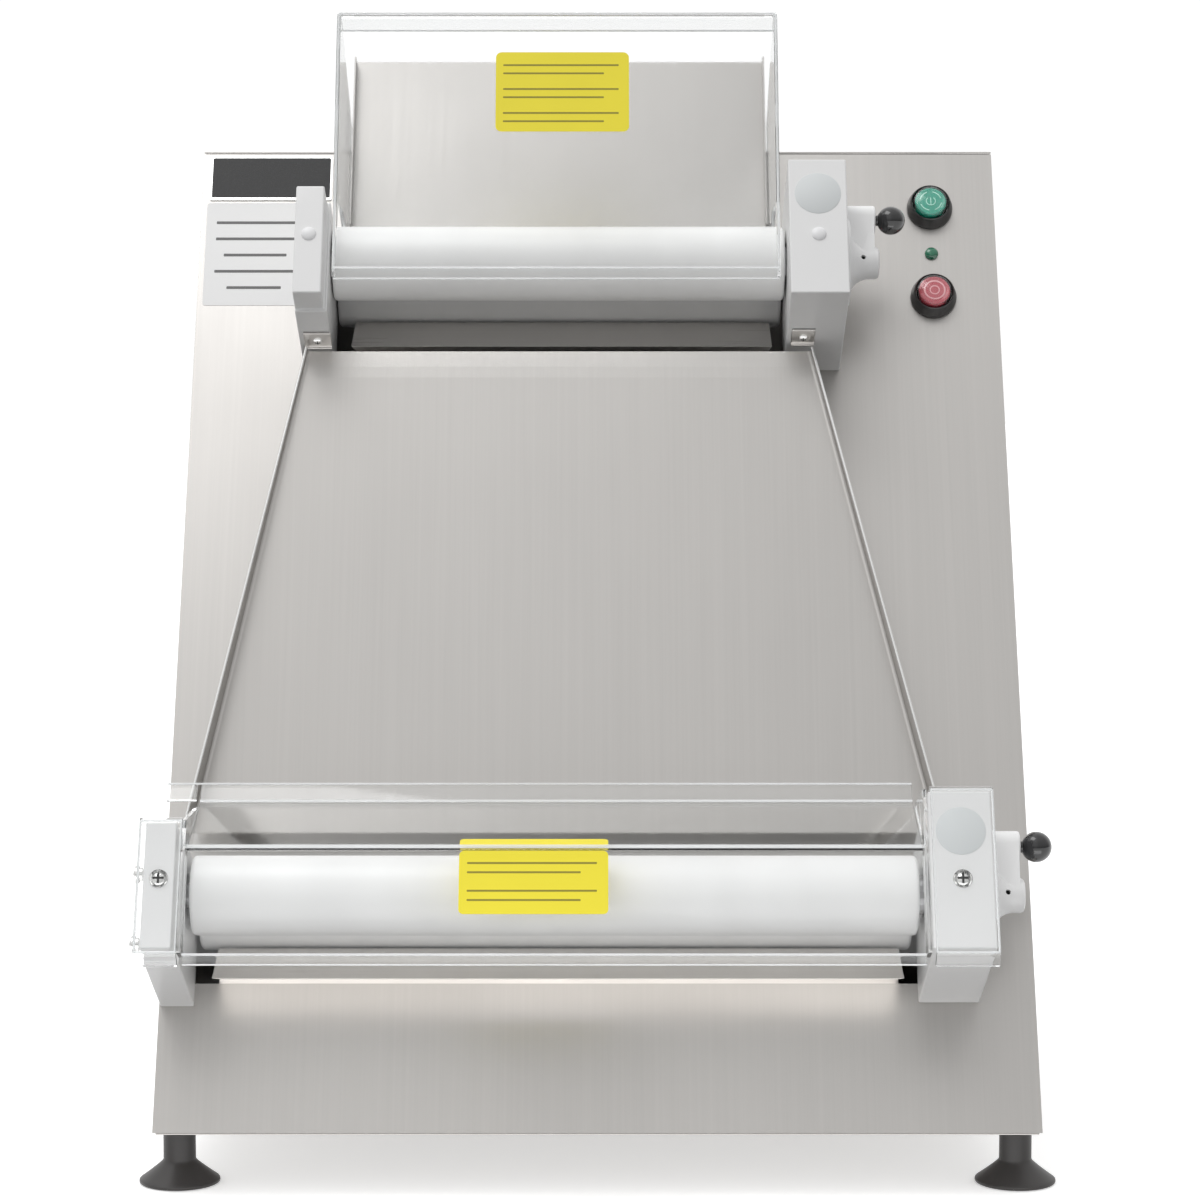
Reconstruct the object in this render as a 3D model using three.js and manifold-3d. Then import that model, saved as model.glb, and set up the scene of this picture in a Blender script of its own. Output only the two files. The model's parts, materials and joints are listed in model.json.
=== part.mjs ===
// Two-stage countertop dough sheeter: a leaning stainless body that carries two roller heads.
// Millimetres, +Z up, the operator stands on the -Y side.
import * as THREE from 'three';
import { mergeVertices } from 'three/addons/utils/BufferGeometryUtils.js';
import Module from 'manifold-3d';

const wasm = await Module();
wasm.setup();

// ---- Driving dimensions ----
const LEAN = THREE.MathUtils.degToRad(29); // the front panel leans back by this much
const BODY_WIDTH = 559;
const PANEL_LENGTH = 712; // along the slope
const BODY_DEPTH = 460; // at the foot of the machine
const SHEET = 1.5;
const GAP = 0.3; // between neighbouring solids
const FOOT_HEIGHT = 39;
const FOOT_X = 267;
const FOOT_INSET = 38;
const BASE_THICKNESS = 1.5;
const FLANGE = 14;
const INNER_WIDTH = BODY_WIDTH - 2 * (SHEET + GAP); // over the two side walls

// A head is measured from the underside of its housings (up the slope) and from the panel (outward).
const HEAD_X = -27.5;
const HEADS = {
  upper: { bottom: 538.5, span: 311, rollerLeft: -179.5, rollerRight: 126.5, lip: -2 },
  lower: { bottom: 84.8, span: 464, rollerLeft: -254, rollerRight: 200.5, lip: 3.8 },
};
const HOUSING_DEPTH = 112;
const HOUSING_WALL = 3.5;
const LEFT_HOUSING = { width: 19, height: 81.5, capDepth: 22, step: 2.5 };
const RIGHT_HOUSING = { width: 39, height: 102 };
const WINDOW = { low: 13, high: 91, leftHigh: 79 };

// The nip frame sits on the inner roller's axis and tilts so that its third axis joins both rollers.
const INNER_UP = 60.4;
const INNER_OUT = 4;
const NIP_TILT = Math.asin(0.145);
const ROLLER_RADIUS = 25;
const ROLLER_GAP = 3;
const CENTRES = 2 * ROLLER_RADIUS + ROLLER_GAP;
const SHAFT_RADIUS = 8;
const AXLE_END_RADIUS = 6;

// The outer roller's blocks travel from -2 to +5 mm while the crank turns through 120 degrees.
const TRAVEL_IN = 2;
const TRAVEL_OUT = 5;
const CRANK_SWEEP = THREE.MathUtils.degToRad(120);
const TRAVEL = TRAVEL_IN + TRAVEL_OUT;
const ECCENTRICITY = TRAVEL / 2 / Math.sin(CRANK_SWEEP / 2);
const CRANK_OUT = CENTRES + (TRAVEL_OUT - TRAVEL_IN) / 2; // crank axis in the nip frame
const PIN_ANGLE = (TRAVEL_IN / TRAVEL - 0.5) * CRANK_SWEEP; // pin's place at rest, from straight up
const PIN_RADIUS = 3;
const FRAME = { low: -26, high: 16, back: -46, front: 84 };
const BLOCK = { half: 11, length: 26 };
const FRAME_WIDTH = { left: 8, right: 10 };

const GEAR_HUB_RADIUS = 12;
const GEAR = { teeth: 16, tip: 29.2, root: 21.5, tipHalf: 0.8, rootHalf: 3.0, width: 9 };
const SPROCKET_RADIUS = 17;
const CHAIN = { thickness: 5, width: 6 };
const DRIVE_SPROCKET_RADIUS = 15;
const DRIVE_Y = 380;
const DRIVE_Z = FOOT_HEIGHT + 108.5;
const DRIVE_SHAFT_RADIUS = 9;
const MOTOR = { radius: 55, left: -150, right: 40, gearbox: 105 };

const VENT = { left: [-130, 40], length: 90, bottom: 330, pitch: 22, height: 5, rows: 6 };
const INLET = { x: 190, z: FOOT_HEIGHT + 63.5, halfWidth: 16.5, halfHeight: 12.5 };

const SIDES = 28; // facets of the rollers and other large rounds

// ---- Materials ----
const steel = new THREE.MeshStandardMaterial({ color: 0xb9b7b2, roughness: 0.35, metalness: 1 });
const darkSteel = new THREE.MeshStandardMaterial({ color: 0x6f7072, roughness: 0.45, metalness: 1 });
const paint = new THREE.MeshStandardMaterial({ color: 0xdcdbd9, roughness: 0.45, metalness: 0.1 });
const whitePlastic = new THREE.MeshStandardMaterial({ color: 0xf0efec, roughness: 0.4, metalness: 0 });
const blackPlastic = new THREE.MeshStandardMaterial({ color: 0x141414, roughness: 0.15, metalness: 0 });
const rubber = new THREE.MeshStandardMaterial({ color: 0x1b1b1b, roughness: 0.8, metalness: 0 });
const greenPlastic = new THREE.MeshStandardMaterial({ color: 0x12a07c, roughness: 0.3, metalness: 0 });
const redPlastic = new THREE.MeshStandardMaterial({ color: 0xb8303c, roughness: 0.3, metalness: 0 });
const clear = new THREE.MeshStandardMaterial({
  color: 0xf4f8f8, roughness: 0.05, metalness: 0, transparent: true, opacity: 0.3,
});

// ---- Geometry helpers ----
function manifoldOf(geometry) {
  const bare = geometry.index ? geometry.toNonIndexed() : geometry.clone();
  bare.deleteAttribute('normal');
  bare.deleteAttribute('uv');
  const merged = mergeVertices(bare, 1e-4);
  return new wasm.Manifold(new wasm.Mesh({
    numProp: 3,
    vertProperties: new Float32Array(merged.attributes.position.array),
    triVerts: new Uint32Array(merged.index.array),
  }));
}

function geometryOf(manifold) {
  const mesh = manifold.getMesh();
  const geometry = new THREE.BufferGeometry();
  geometry.setAttribute('position', new THREE.BufferAttribute(mesh.vertProperties, 3));
  geometry.setIndex(new THREE.BufferAttribute(mesh.triVerts, 1));
  geometry.computeVertexNormals();
  return geometry;
}

function join(first, ...rest) {
  return geometryOf(rest.reduce((sum, piece) => sum.add(manifoldOf(piece)), manifoldOf(first)));
}

function cut(first, ...cutters) {
  return geometryOf(cutters.reduce((sum, piece) => sum.subtract(manifoldOf(piece)), manifoldOf(first)));
}

function common(first, second) {
  return geometryOf(manifoldOf(first).intersect(manifoldOf(second)));
}

// A box from its ranges along X, Y and Z.
function box(x, y, z) {
  const geometry = new THREE.BoxGeometry(x[1] - x[0], y[1] - y[0], z[1] - z[0]);
  return geometry.translate((x[0] + x[1]) / 2, (y[0] + y[1]) / 2, (z[0] + z[1]) / 2);
}

// A round bar or disc along X, centred on (y, z).
function barX(x0, x1, y, z, radius, sides = 18) {
  const geometry = new THREE.CylinderGeometry(radius, radius, x1 - x0, sides);
  return geometry.rotateZ(-Math.PI / 2).translate((x0 + x1) / 2, y, z);
}

// A turned piece along X: profile points are [x, radius], starting and ending on the axis.
function turnedX(profile, y, z, sides = SIDES) {
  const points = profile.map(([x, radius]) => new THREE.Vector2(radius, x));
  return new THREE.LatheGeometry(points, sides).rotateZ(-Math.PI / 2).translate(0, y, z);
}

// A ring or tube along X.
function tubeX(x0, x1, y, z, outer, inner, sides = SIDES) {
  return turnedX([[x0, inner], [x0, outer], [x1, outer], [x1, inner], [x0, inner]], y, z, sides);
}

// An outline in Y and Z, extruded along X.
const YZ_TO_X = new THREE.Matrix4().makeBasis(
  new THREE.Vector3(0, 1, 0), new THREE.Vector3(0, 0, 1), new THREE.Vector3(1, 0, 0));

function extrudeX(points, x0, x1, holes = []) {
  const shape = new THREE.Shape(points.map(([y, z]) => new THREE.Vector2(y, z)));
  for (const hole of holes) {
    shape.holes.push(new THREE.Path(hole.map(([y, z]) => new THREE.Vector2(y, z))));
  }
  const geometry = new THREE.ExtrudeGeometry(shape, { depth: x1 - x0, bevelEnabled: false });
  return geometry.applyMatrix4(YZ_TO_X).translate(x0, 0, 0);
}

// The outline of a bent sheet: a line of points given its thickness on the left-hand side.
function bentSheet(points, thickness) {
  const offset = points.map((point, index) => {
    const before = points[Math.max(index - 1, 0)];
    const after = points[Math.min(index + 1, points.length - 1)];
    const incoming = new THREE.Vector2(point[0] - before[0], point[1] - before[1]);
    const outgoing = new THREE.Vector2(after[0] - point[0], after[1] - point[1]);
    const a = (index === 0 ? outgoing : incoming).normalize();
    const b = (index === points.length - 1 ? incoming : outgoing).normalize();
    const normal = new THREE.Vector2(-a.y - b.y, a.x + b.x).normalize();
    const mitre = thickness / (normal.x * -a.y + normal.y * a.x);
    return [point[0] + normal.x * mitre, point[1] + normal.y * mitre];
  });
  return [...points, ...offset.reverse()];
}

// A rounded bar outline between two points in the plane, for slots and links.
function stadium(ay, az, by, bz, radius, steps = 6) {
  const heading = Math.atan2(bz - az, by - ay);
  const points = [];
  for (let i = 0; i <= steps; i += 1) {
    const angle = heading - Math.PI / 2 + (Math.PI * i) / steps;
    points.push([by + radius * Math.cos(angle), bz + radius * Math.sin(angle)]);
  }
  for (let i = 0; i <= steps; i += 1) {
    const angle = heading + Math.PI / 2 + (Math.PI * i) / steps;
    points.push([ay + radius * Math.cos(angle), az + radius * Math.sin(angle)]);
  }
  return points;
}

// ---- Scene graph ----
// slope: X across, Y up the panel from its foot, Z outward from its face.
const model = new THREE.Group();
const slope = new THREE.Group();
slope.position.z = FOOT_HEIGHT + BASE_THICKNESS;
slope.rotation.x = Math.PI / 2 - LEAN;
model.add(slope);

function add(parent, name, geometry, material) {
  const mesh = new THREE.Mesh(geometry, material);
  mesh.name = name;
  parent.add(mesh);
}

// A point of the slope frame in the upright frame.
function upright(up, out) {
  return new THREE.Vector2(
    up * Math.sin(LEAN) - out * Math.cos(LEAN),
    up * Math.cos(LEAN) + out * Math.sin(LEAN) + slope.position.z);
}

// ---- Body ----
function levelSlab(outer, inner) {
  const rise = Math.tan(LEAN);
  return [
    [-outer * rise, outer],
    [PANEL_LENGTH - outer * rise, outer],
    [PANEL_LENGTH - inner * rise, inner],
    [-inner * rise, inner],
  ];
}

// The opening behind a head: tall for the roller and its gears, lower behind the left housing.
function panelWindow(head) {
  const inner = HEAD_X - head.span / 2;
  const left = inner - LEFT_HOUSING.width + HOUSING_WALL;
  const right = HEAD_X + head.span / 2 + RIGHT_HOUSING.width - HOUSING_WALL;
  const low = head.bottom + WINDOW.low;
  const through = [-2 * SHEET, SHEET];
  return join(
    box([inner - 1, right], [low, head.bottom + WINDOW.high], through),
    box([left, inner], [low, head.bottom + WINDOW.leftHigh], through));
}

function frontPanel() {
  const half = BODY_WIDTH / 2;
  const sheet = extrudeX(levelSlab(0, -SHEET), -half, half);
  const flange = levelSlab(0, -FLANGE);
  const tray = join(sheet, extrudeX(flange, -half, -half + SHEET), extrudeX(flange, half - SHEET, half));
  const windows = Object.values(HEADS).map(panelWindow);
  const holes = CONTROLS.map((control) => new THREE.CylinderGeometry(control.hole, control.hole, 6, 20)
    .rotateX(Math.PI / 2).translate(CONTROL_X, control.up, 0));
  return cut(tray, ...windows, ...holes);
}

function sidePanel(side) {
  const clearance = (SHEET + GAP) / Math.cos(LEAN);
  const top = PANEL_LENGTH * Math.cos(LEAN) + slope.position.z;
  const bottom = slope.position.z;
  const outline = [
    [clearance, bottom], [BODY_DEPTH - SHEET - GAP, bottom],
    [BODY_DEPTH - SHEET - GAP, top], [(top - bottom) * Math.tan(LEAN) + clearance, top],
  ];
  const outside = side * INNER_WIDTH / 2;
  const inside = outside - side * SHEET;
  return extrudeX(outline, Math.min(outside, inside), Math.max(outside, inside));
}

function topPanel() {
  const top = PANEL_LENGTH * Math.cos(LEAN) + slope.position.z + GAP;
  const front = PANEL_LENGTH * Math.sin(LEAN);
  return box([-BODY_WIDTH / 2, BODY_WIDTH / 2], [front, BODY_DEPTH], [top, top + SHEET]);
}

function rearCover() {
  const bottom = slope.position.z;
  const top = PANEL_LENGTH * Math.cos(LEAN) + slope.position.z;
  const half = BODY_WIDTH / 2;
  const sheet = box([-half, half], [BODY_DEPTH - SHEET, BODY_DEPTH], [bottom, top]);
  const flanges = [-half, half - SHEET].map((x) => box(
    [x, x + SHEET], [BODY_DEPTH - FLANGE, BODY_DEPTH], [bottom, top]));
  const slots = [];
  const through = [BODY_DEPTH - 4, BODY_DEPTH + 4];
  for (const x of VENT.left) {
    for (let row = 0; row < VENT.rows; row += 1) {
      const z = VENT.bottom + VENT.pitch * row;
      slots.push(box([x, x + VENT.length], through, [z, z + VENT.height]));
    }
  }
  const room = 0.5;
  const inlet = box(
    [INLET.x - INLET.halfWidth - room, INLET.x + INLET.halfWidth + room], through,
    [INLET.z - INLET.halfHeight - room, INLET.z + INLET.halfHeight + room]);
  return cut(join(sheet, ...flanges), ...slots, inlet);
}

function basePlate() {
  const half = INNER_WIDTH / 2;
  return box([-half, half], [1, BODY_DEPTH - 1], [FOOT_HEIGHT, FOOT_HEIGHT + BASE_THICKNESS - GAP]);
}

// Neck, groove, cone and rim of a rubber foot, from the floor up.
function foot(x, y) {
  const profile = [
    [0, 0], [24.9, 0], [25.75, 0.9], [25.75, 2], [10.7, 14.2], [10.3, 16], [10.3, 32.4],
    [9.3, 33.2], [9.3, 34.6], [10.3, 35.4], [10.3, FOOT_HEIGHT - GAP], [0, FOOT_HEIGHT - GAP],
  ];
  const points = profile.map(([radius, z]) => new THREE.Vector2(radius, z));
  return new THREE.LatheGeometry(points, 18).rotateX(Math.PI / 2).translate(x, y, 0);
}

// ---- Controls on the panel ----
const CONTROL_X = 234;
const CONTROLS = [
  { name: 'start', up: 667, hole: 11, cap: greenPlastic },
  { name: 'pilot', up: 631, hole: 3.6 },
  { name: 'stop', up: 596, hole: 11, cap: redPlastic },
];

// A turned piece whose axis stands out of the panel: profile points are [radius, out].
function turnedOut(profile, up, sides = 20) {
  const points = profile.map(([radius, out]) => new THREE.Vector2(radius, out));
  return new THREE.LatheGeometry(points, sides).rotateX(Math.PI / 2).translate(CONTROL_X, up, 0);
}

function bezel(up) {
  return turnedOut([
    [12.9, GAP], [16, GAP], [16, 3.5], [14.4, 9.5], [13.2, 10], [12.9, 9.5], [12.9, GAP],
  ], up);
}

function buttonCap(up) {
  return turnedOut([
    [0, -9], [6, -9], [6, 4.5], [12.2, 4.5], [12.2, 10], [10.6, 12.2], [0, 12.6],
  ], up);
}

function pilotLight() {
  return turnedOut([
    [0, -8], [3.3, -8], [3.3, GAP], [4.7, GAP], [4.7, 1.8], [3.4, 3.2], [0, 3.6],
  ], CONTROLS[1].up, 12);
}

// ---- Roller heads ----
function leftHousing(head) {
  const inner = HEAD_X - head.span / 2;
  const outer = inner - LEFT_HOUSING.width;
  const { step, capDepth, height } = LEFT_HOUSING;
  const base = head.bottom;
  const shoulder = HOUSING_DEPTH - capDepth;
  const cap = box([outer, inner], [base, base + height], [shoulder - 1, HOUSING_DEPTH]);
  const block = box([outer, inner + step], [base - step, base + height], [GAP, shoulder]);
  const cavity = box(
    [outer + HOUSING_WALL, inner - HOUSING_WALL],
    [base + HOUSING_WALL, base + height - HOUSING_WALL], [-1, HOUSING_DEPTH - HOUSING_WALL]);
  return cut(join(cap, block), cavity, ...shaftSlots(head, inner - HOUSING_WALL - 1, inner + step + 1));
}

function rightHousing(head) {
  const inner = HEAD_X + head.span / 2;
  const outer = inner + RIGHT_HOUSING.width;
  const base = head.bottom;
  const top = base + RIGHT_HOUSING.height;
  const block = box([inner, outer], [base, top], [GAP, HOUSING_DEPTH]);
  const cavity = box(
    [inner + HOUSING_WALL, outer - HOUSING_WALL], [base + HOUSING_WALL, top - HOUSING_WALL],
    [-1, HOUSING_DEPTH - HOUSING_WALL]);
  const crank = nipPoint(head, 0, CRANK_OUT);
  const bore = barX(outer - 6, outer + 1, crank.x, crank.y, 10 + GAP);
  return cut(block, cavity, bore, ...shaftSlots(head, inner - 1, inner + HOUSING_WALL + 1));
}

// A point of a head's nip frame in the slope frame.
function nipPoint(head, along, outward) {
  return new THREE.Vector2(
    head.bottom + INNER_UP + along * Math.cos(NIP_TILT) - outward * Math.sin(NIP_TILT),
    INNER_OUT + along * Math.sin(NIP_TILT) + outward * Math.cos(NIP_TILT));
}

// The openings in a housing's inner wall: one for the inner shaft, one for the moving outer axle.
function shaftSlots(head, x0, x1) {
  const shaft = nipPoint(head, 0, 0);
  const low = nipPoint(head, 0, CENTRES - TRAVEL_IN);
  const high = nipPoint(head, 0, CENTRES + TRAVEL_OUT);
  const slotRadius = GEAR_HUB_RADIUS + 1;
  return [
    extrudeX(stadium(shaft.x, shaft.y - 12, shaft.x, shaft.y, SHAFT_RADIUS + 1), x0, x1),
    extrudeX(stadium(low.x, low.y, high.x, high.y, slotRadius), x0, x1),
  ];
}

function frame(x0, x1) {
  const outline = [
    [FRAME.low, FRAME.back], [FRAME.high, FRAME.back],
    [FRAME.high, FRAME.front], [FRAME.low, FRAME.front],
  ];
  const plate = extrudeX(outline, x0, x1);
  const bore = barX(x0 - 1, x1 + 1, 0, 0, SHAFT_RADIUS + GAP);
  const room = BLOCK.length / 2 + GAP;
  const guide = box(
    [x0 - 1, x1 + 1], [-BLOCK.half - GAP, BLOCK.half + GAP],
    [CENTRES - TRAVEL_IN - room, CENTRES + TRAVEL_OUT + room]);
  return cut(plate, bore, guide);
}

function block(x0, x1) {
  return box([x0, x1], [-BLOCK.half, BLOCK.half], [CENTRES - BLOCK.length / 2, CENTRES + BLOCK.length / 2]);
}

// The outline of a long-toothed spur gear; phase turns it about its axis.
function gearOutline(y, z, phase) {
  const points = [];
  for (let tooth = 0; tooth < GEAR.teeth; tooth += 1) {
    const centre = phase + (tooth / GEAR.teeth) * 2 * Math.PI;
    for (const [radius, half] of [
      [GEAR.root, -GEAR.rootHalf], [GEAR.tip, -GEAR.tipHalf],
      [GEAR.tip, GEAR.tipHalf], [GEAR.root, GEAR.rootHalf],
    ]) {
      points.push([
        y + radius * Math.cos(centre) - half * Math.sin(centre),
        z + radius * Math.sin(centre) + half * Math.cos(centre),
      ]);
    }
  }
  return points;
}

// The tangent loop of a chain round two sprockets, at a distance outside their pitch circles.
function chainLoop(a, radiusA, b, radiusB, offset, steps = 8) {
  const distance = a.distanceTo(b);
  const heading = Math.atan2(b.y - a.y, b.x - a.x);
  const spread = Math.acos((radiusA - radiusB) / distance);
  const points = [];
  for (let i = 0; i <= steps; i += 1) {
    const angle = heading - spread + (2 * spread * i) / steps;
    points.push([b.x + (radiusB + offset) * Math.cos(angle), b.y + (radiusB + offset) * Math.sin(angle)]);
  }
  for (let i = 0; i <= steps; i += 1) {
    const angle = heading + spread + (2 * (Math.PI - spread) * i) / steps;
    points.push([a.x + (radiusA + offset) * Math.cos(angle), a.y + (radiusA + offset) * Math.sin(angle)]);
  }
  return points;
}

// The white lever: a flange against the housing, a hub, and an arm that ends in the knob's boss.
const CRANK = {
  flange: 30, flangeWidth: 3.5, hub: 11, hubWidth: 24.2, arm: 31, boss: 10, bossWidth: 22.1,
};
const KNOB_RADIUS = 9.7;

function crank(face) {
  const fillet = [];
  for (let i = 0; i <= 3; i += 1) {
    const angle = (Math.PI / 2) * (i / 3);
    const radius = 14;
    fillet.push([
      face + CRANK.flangeWidth + radius - radius * Math.cos(angle),
      CRANK.hub + radius - radius * Math.sin(angle),
    ]);
  }
  const body = turnedX([
    [face, 0], [face, CRANK.flange], [face + CRANK.flangeWidth, CRANK.flange], ...fillet,
    [face + CRANK.hubWidth - 2, CRANK.hub], [face + CRANK.hubWidth, CRANK.hub - 2],
    [face + CRANK.hubWidth, 0],
  ], 0, CRANK_OUT, 22);
  const arm = extrudeX(
    stadium(0, CRANK_OUT, CRANK.arm, CRANK_OUT, CRANK.boss), face + 1, face + CRANK.bossWidth - 0.9);
  const boss = barX(face + 1, face + CRANK.bossWidth, CRANK.arm, CRANK_OUT, CRANK.boss);
  const bore = barX(face - 1, face + 19, 0, CRANK_OUT, 6 + GAP);
  const stemHole = barX(face + 10, face + CRANK.bossWidth + 1, CRANK.arm, CRANK_OUT, 3 + GAP, 16);
  return cut(join(body, arm, boss), bore, stemHole);
}

function knob(face) {
  const centre = face + 33;
  const profile = [[face + 11, 0], [face + 11, 3], [face + CRANK.bossWidth + GAP, 3]];
  for (let i = 1; i <= 9; i += 1) {
    const angle = 0.33 + ((Math.PI - 0.33) * (i - 1)) / 8;
    profile.push([centre - KNOB_RADIUS * Math.cos(angle), KNOB_RADIUS * Math.sin(angle)]);
  }
  profile[profile.length - 1][1] = 0;
  return turnedX(profile, CRANK.arm, CRANK_OUT, 18);
}

function crankShaft(face) {
  const pinY = ECCENTRICITY * Math.cos(PIN_ANGLE);
  const pinZ = CRANK_OUT + ECCENTRICITY * Math.sin(PIN_ANGLE);
  const inside = face - RIGHT_HOUSING.width;
  return join(
    barX(inside + 34.8, face, 0, CRANK_OUT, 10),
    barX(face - 1, face + 18, 0, CRANK_OUT, 6),
    barX(inside + 30.4, inside + 35.5, pinY, pinZ, PIN_RADIUS, 16));
}

// The plate that peels the dough off the inner roller. Its leg goes back through the window to a
// flange behind the panel.
function scraper(head, x0, x1) {
  const line = [[33.6, 8.6], [head.lip, 40], [16.5, -1.8], [3, -1.8]];
  const outline = bentSheet(line.map(([up, out]) => [head.bottom + up, out]), 1.2);
  return extrudeX(outline, x0, x1);
}

function buildHead(name, head) {
  const left = HEAD_X - head.span / 2;
  const right = HEAD_X + head.span / 2;
  const face = right + RIGHT_HOUSING.width;
  add(slope, `${name}_left_housing`, leftHousing(head), paint);
  add(slope, `${name}_right_housing`, rightHousing(head), paint);
  add(slope, `${name}_scraper`, scraper(head, head.rollerLeft + 12, head.rollerRight - 8), steel);

  const nip = new THREE.Group();
  nip.position.set(0, head.bottom + INNER_UP, INNER_OUT);
  nip.rotation.x = NIP_TILT;
  slope.add(nip);

  const leftFrame = [left - 14, left - 14 + FRAME_WIDTH.left];
  const rightFrame = [right + 24.5, right + 24.5 + FRAME_WIDTH.right];
  add(nip, `${name}_left_frame`, frame(...leftFrame), darkSteel);
  add(nip, `${name}_right_frame`, frame(...rightFrame), darkSteel);

  const rollerBore = SHAFT_RADIUS + GAP;
  const edge = 2.5;
  const rollerProfile = (z) => turnedX([
    [head.rollerLeft, rollerBore], [head.rollerLeft, ROLLER_RADIUS - edge],
    [head.rollerLeft + edge, ROLLER_RADIUS],
    [head.rollerRight - edge, ROLLER_RADIUS], [head.rollerRight, ROLLER_RADIUS - edge],
    [head.rollerRight, rollerBore], [head.rollerLeft, rollerBore],
  ], 0, z);
  add(nip, `${name}_inner_roller`, rollerProfile(0), whitePlastic);
  add(nip, `${name}_outer_roller`, rollerProfile(CENTRES), whitePlastic);
  const shaft = barX(leftFrame[0] + 0.5, rightFrame[1] - 0.5, 0, 0, SHAFT_RADIUS);
  add(nip, `${name}_inner_shaft`, shaft, darkSteel);

  const gearRange = [right + 14, right + 14 + GEAR.width];
  const innerGear = extrudeX(gearOutline(0, 0, Math.PI / 2), ...gearRange);
  const outerGear = extrudeX(gearOutline(0, CENTRES, -Math.PI / 2 + Math.PI / GEAR.teeth), ...gearRange);
  const hub = barX(head.rollerRight + GAP, gearRange[0] + 1, 0, CENTRES, GEAR_HUB_RADIUS);
  const bore = (z) => barX(head.rollerRight - 5, gearRange[1] + 1, 0, z, rollerBore);
  add(nip, `${name}_inner_gear`, cut(innerGear, bore(0)), darkSteel);
  add(nip, `${name}_outer_gear`, cut(join(outerGear, hub), bore(CENTRES)), darkSteel);
  const sprocket = tubeX(right + 6.5, right + 11.5, 0, 0, SPROCKET_RADIUS, rollerBore, 20);
  add(nip, `${name}_sprocket`, sprocket, darkSteel);

  const axleIn = { left: leftFrame[0] + 2, right: rightFrame[0] + 4.2 };
  const axle = join(
    barX(leftFrame[1] + 1, rightFrame[0] - 1, 0, CENTRES, SHAFT_RADIUS),
    barX(axleIn.left, axleIn.right, 0, CENTRES, AXLE_END_RADIUS));
  add(nip, `${name}_axle`, axle, darkSteel);
  const leftBore = barX(axleIn.left - GAP, leftFrame[1] + 1, 0, CENTRES, AXLE_END_RADIUS + GAP);
  const rightBore = barX(rightFrame[0] - 1, axleIn.right + GAP, 0, CENTRES, AXLE_END_RADIUS + GAP);
  const slotHalf = PIN_RADIUS + 0.5;
  const slotOut = CRANK_OUT - (TRAVEL_OUT - TRAVEL_IN) / 2;
  const slot = box(
    [rightFrame[1] - 4.5, rightFrame[1] + 1], [-1.9, 7.9], [slotOut - slotHalf, slotOut + slotHalf]);
  add(nip, `${name}_left_block`, cut(block(...leftFrame), leftBore), darkSteel);
  add(nip, `${name}_right_block`, cut(block(...rightFrame), rightBore, slot), darkSteel);

  add(nip, `${name}_crank`, crank(face + GAP), whitePlastic);
  add(nip, `${name}_crank_shaft`, crankShaft(face + GAP), darkSteel);
  add(nip, `${name}_knob`, knob(face + GAP), blackPlastic);
}

// ---- Guards ----
const CLEAR = 2.5;

function upperGuard() {
  const base = HEADS.upper.bottom;
  const half = 149.5;
  const range = [HEAD_X - half, HEAD_X + half];
  const front = [[744.5, 110.5], [744, 132], [560, 106], [553.5, 102.5]];
  const sheet = extrudeX(bentSheet(front, CLEAR), ...range);
  const wall = [
    [553.5, 102.5], [560, 106], [744, 132], [744.5, 110.5], [728, 5], [base + 92, 5],
    [base + 92, 60], [base + 76, 98],
  ];
  const walls = [range[0], range[1] - CLEAR].map((x) => extrudeX(wall, x, x + CLEAR));
  return join(sheet, ...walls);
}

function lowerGuard() {
  const base = HEADS.lower.bottom;
  const left = HEAD_X - HEADS.lower.span / 2;
  const right = HEAD_X + HEADS.lower.span / 2;
  const cover = HOUSING_DEPTH + 0.6;
  const profile = [
    [base + 131.5, 48], [base + 118, 50], [base + 67, 105], [base - 2, 105], [base - 7, 100],
  ];
  const middle = extrudeX(bentSheet(profile, CLEAR), left + 3.5, right - 1);
  const lip = extrudeX(bentSheet(profile.slice(0, 2), CLEAR), left - 15.5, left + 4);
  const rightTop = base + RIGHT_HOUSING.height;
  const leftTop = base + LEFT_HOUSING.height;
  const endBox = (x0, x1, top) => extrudeX(bentSheet([
    [top + 1.2, 96], [top + 1.2, cover], [base - 3, cover], [base - 7, cover - 9],
  ], -CLEAR), x0, x1);
  const cheek = (x, top) => extrudeX([
    [base - 1, 96], [base - 3, cover + 1], [top + 1.2, cover + 1], [base + 112, 57], [base + 112, 50],
    [top + 1, 90], [base + 66, 100],
  ], x, x + CLEAR);
  return join(
    middle, lip,
    endBox(left - LEFT_HOUSING.width - 3.8, left + 6, leftTop),
    endBox(right - 3.5, right + 40.5, rightTop),
    cheek(left + 3.5, leftTop), cheek(right - 3.5, rightTop));
}

// ---- Chutes ----
function infeedChute() {
  const half = 146.4;
  const low = HEADS.upper.bottom + 93;
  const profile = [[low - 3, 10], [low + 14, 2.5], [787, 2.5]];
  const floor = extrudeX(bentSheet(profile, -1.2), HEAD_X - half, HEAD_X + half);
  const flanges = [HEAD_X - half, HEAD_X + half - 1.2].map(
    (x) => box([x, x + 1.2], [low + 16, 785], [1.4, 13]));
  return join(floor, ...flanges);
}

// The tray between the heads: its floor drops towards the panel, and its rims splay outwards.
const TRAY = {
  top: { up: 532, out: 41, left: -197.6, right: 145.5, wall: 7 },
  foot: { up: 193, out: 13, left: -265, right: 222.3, wall: 24 },
};

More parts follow.
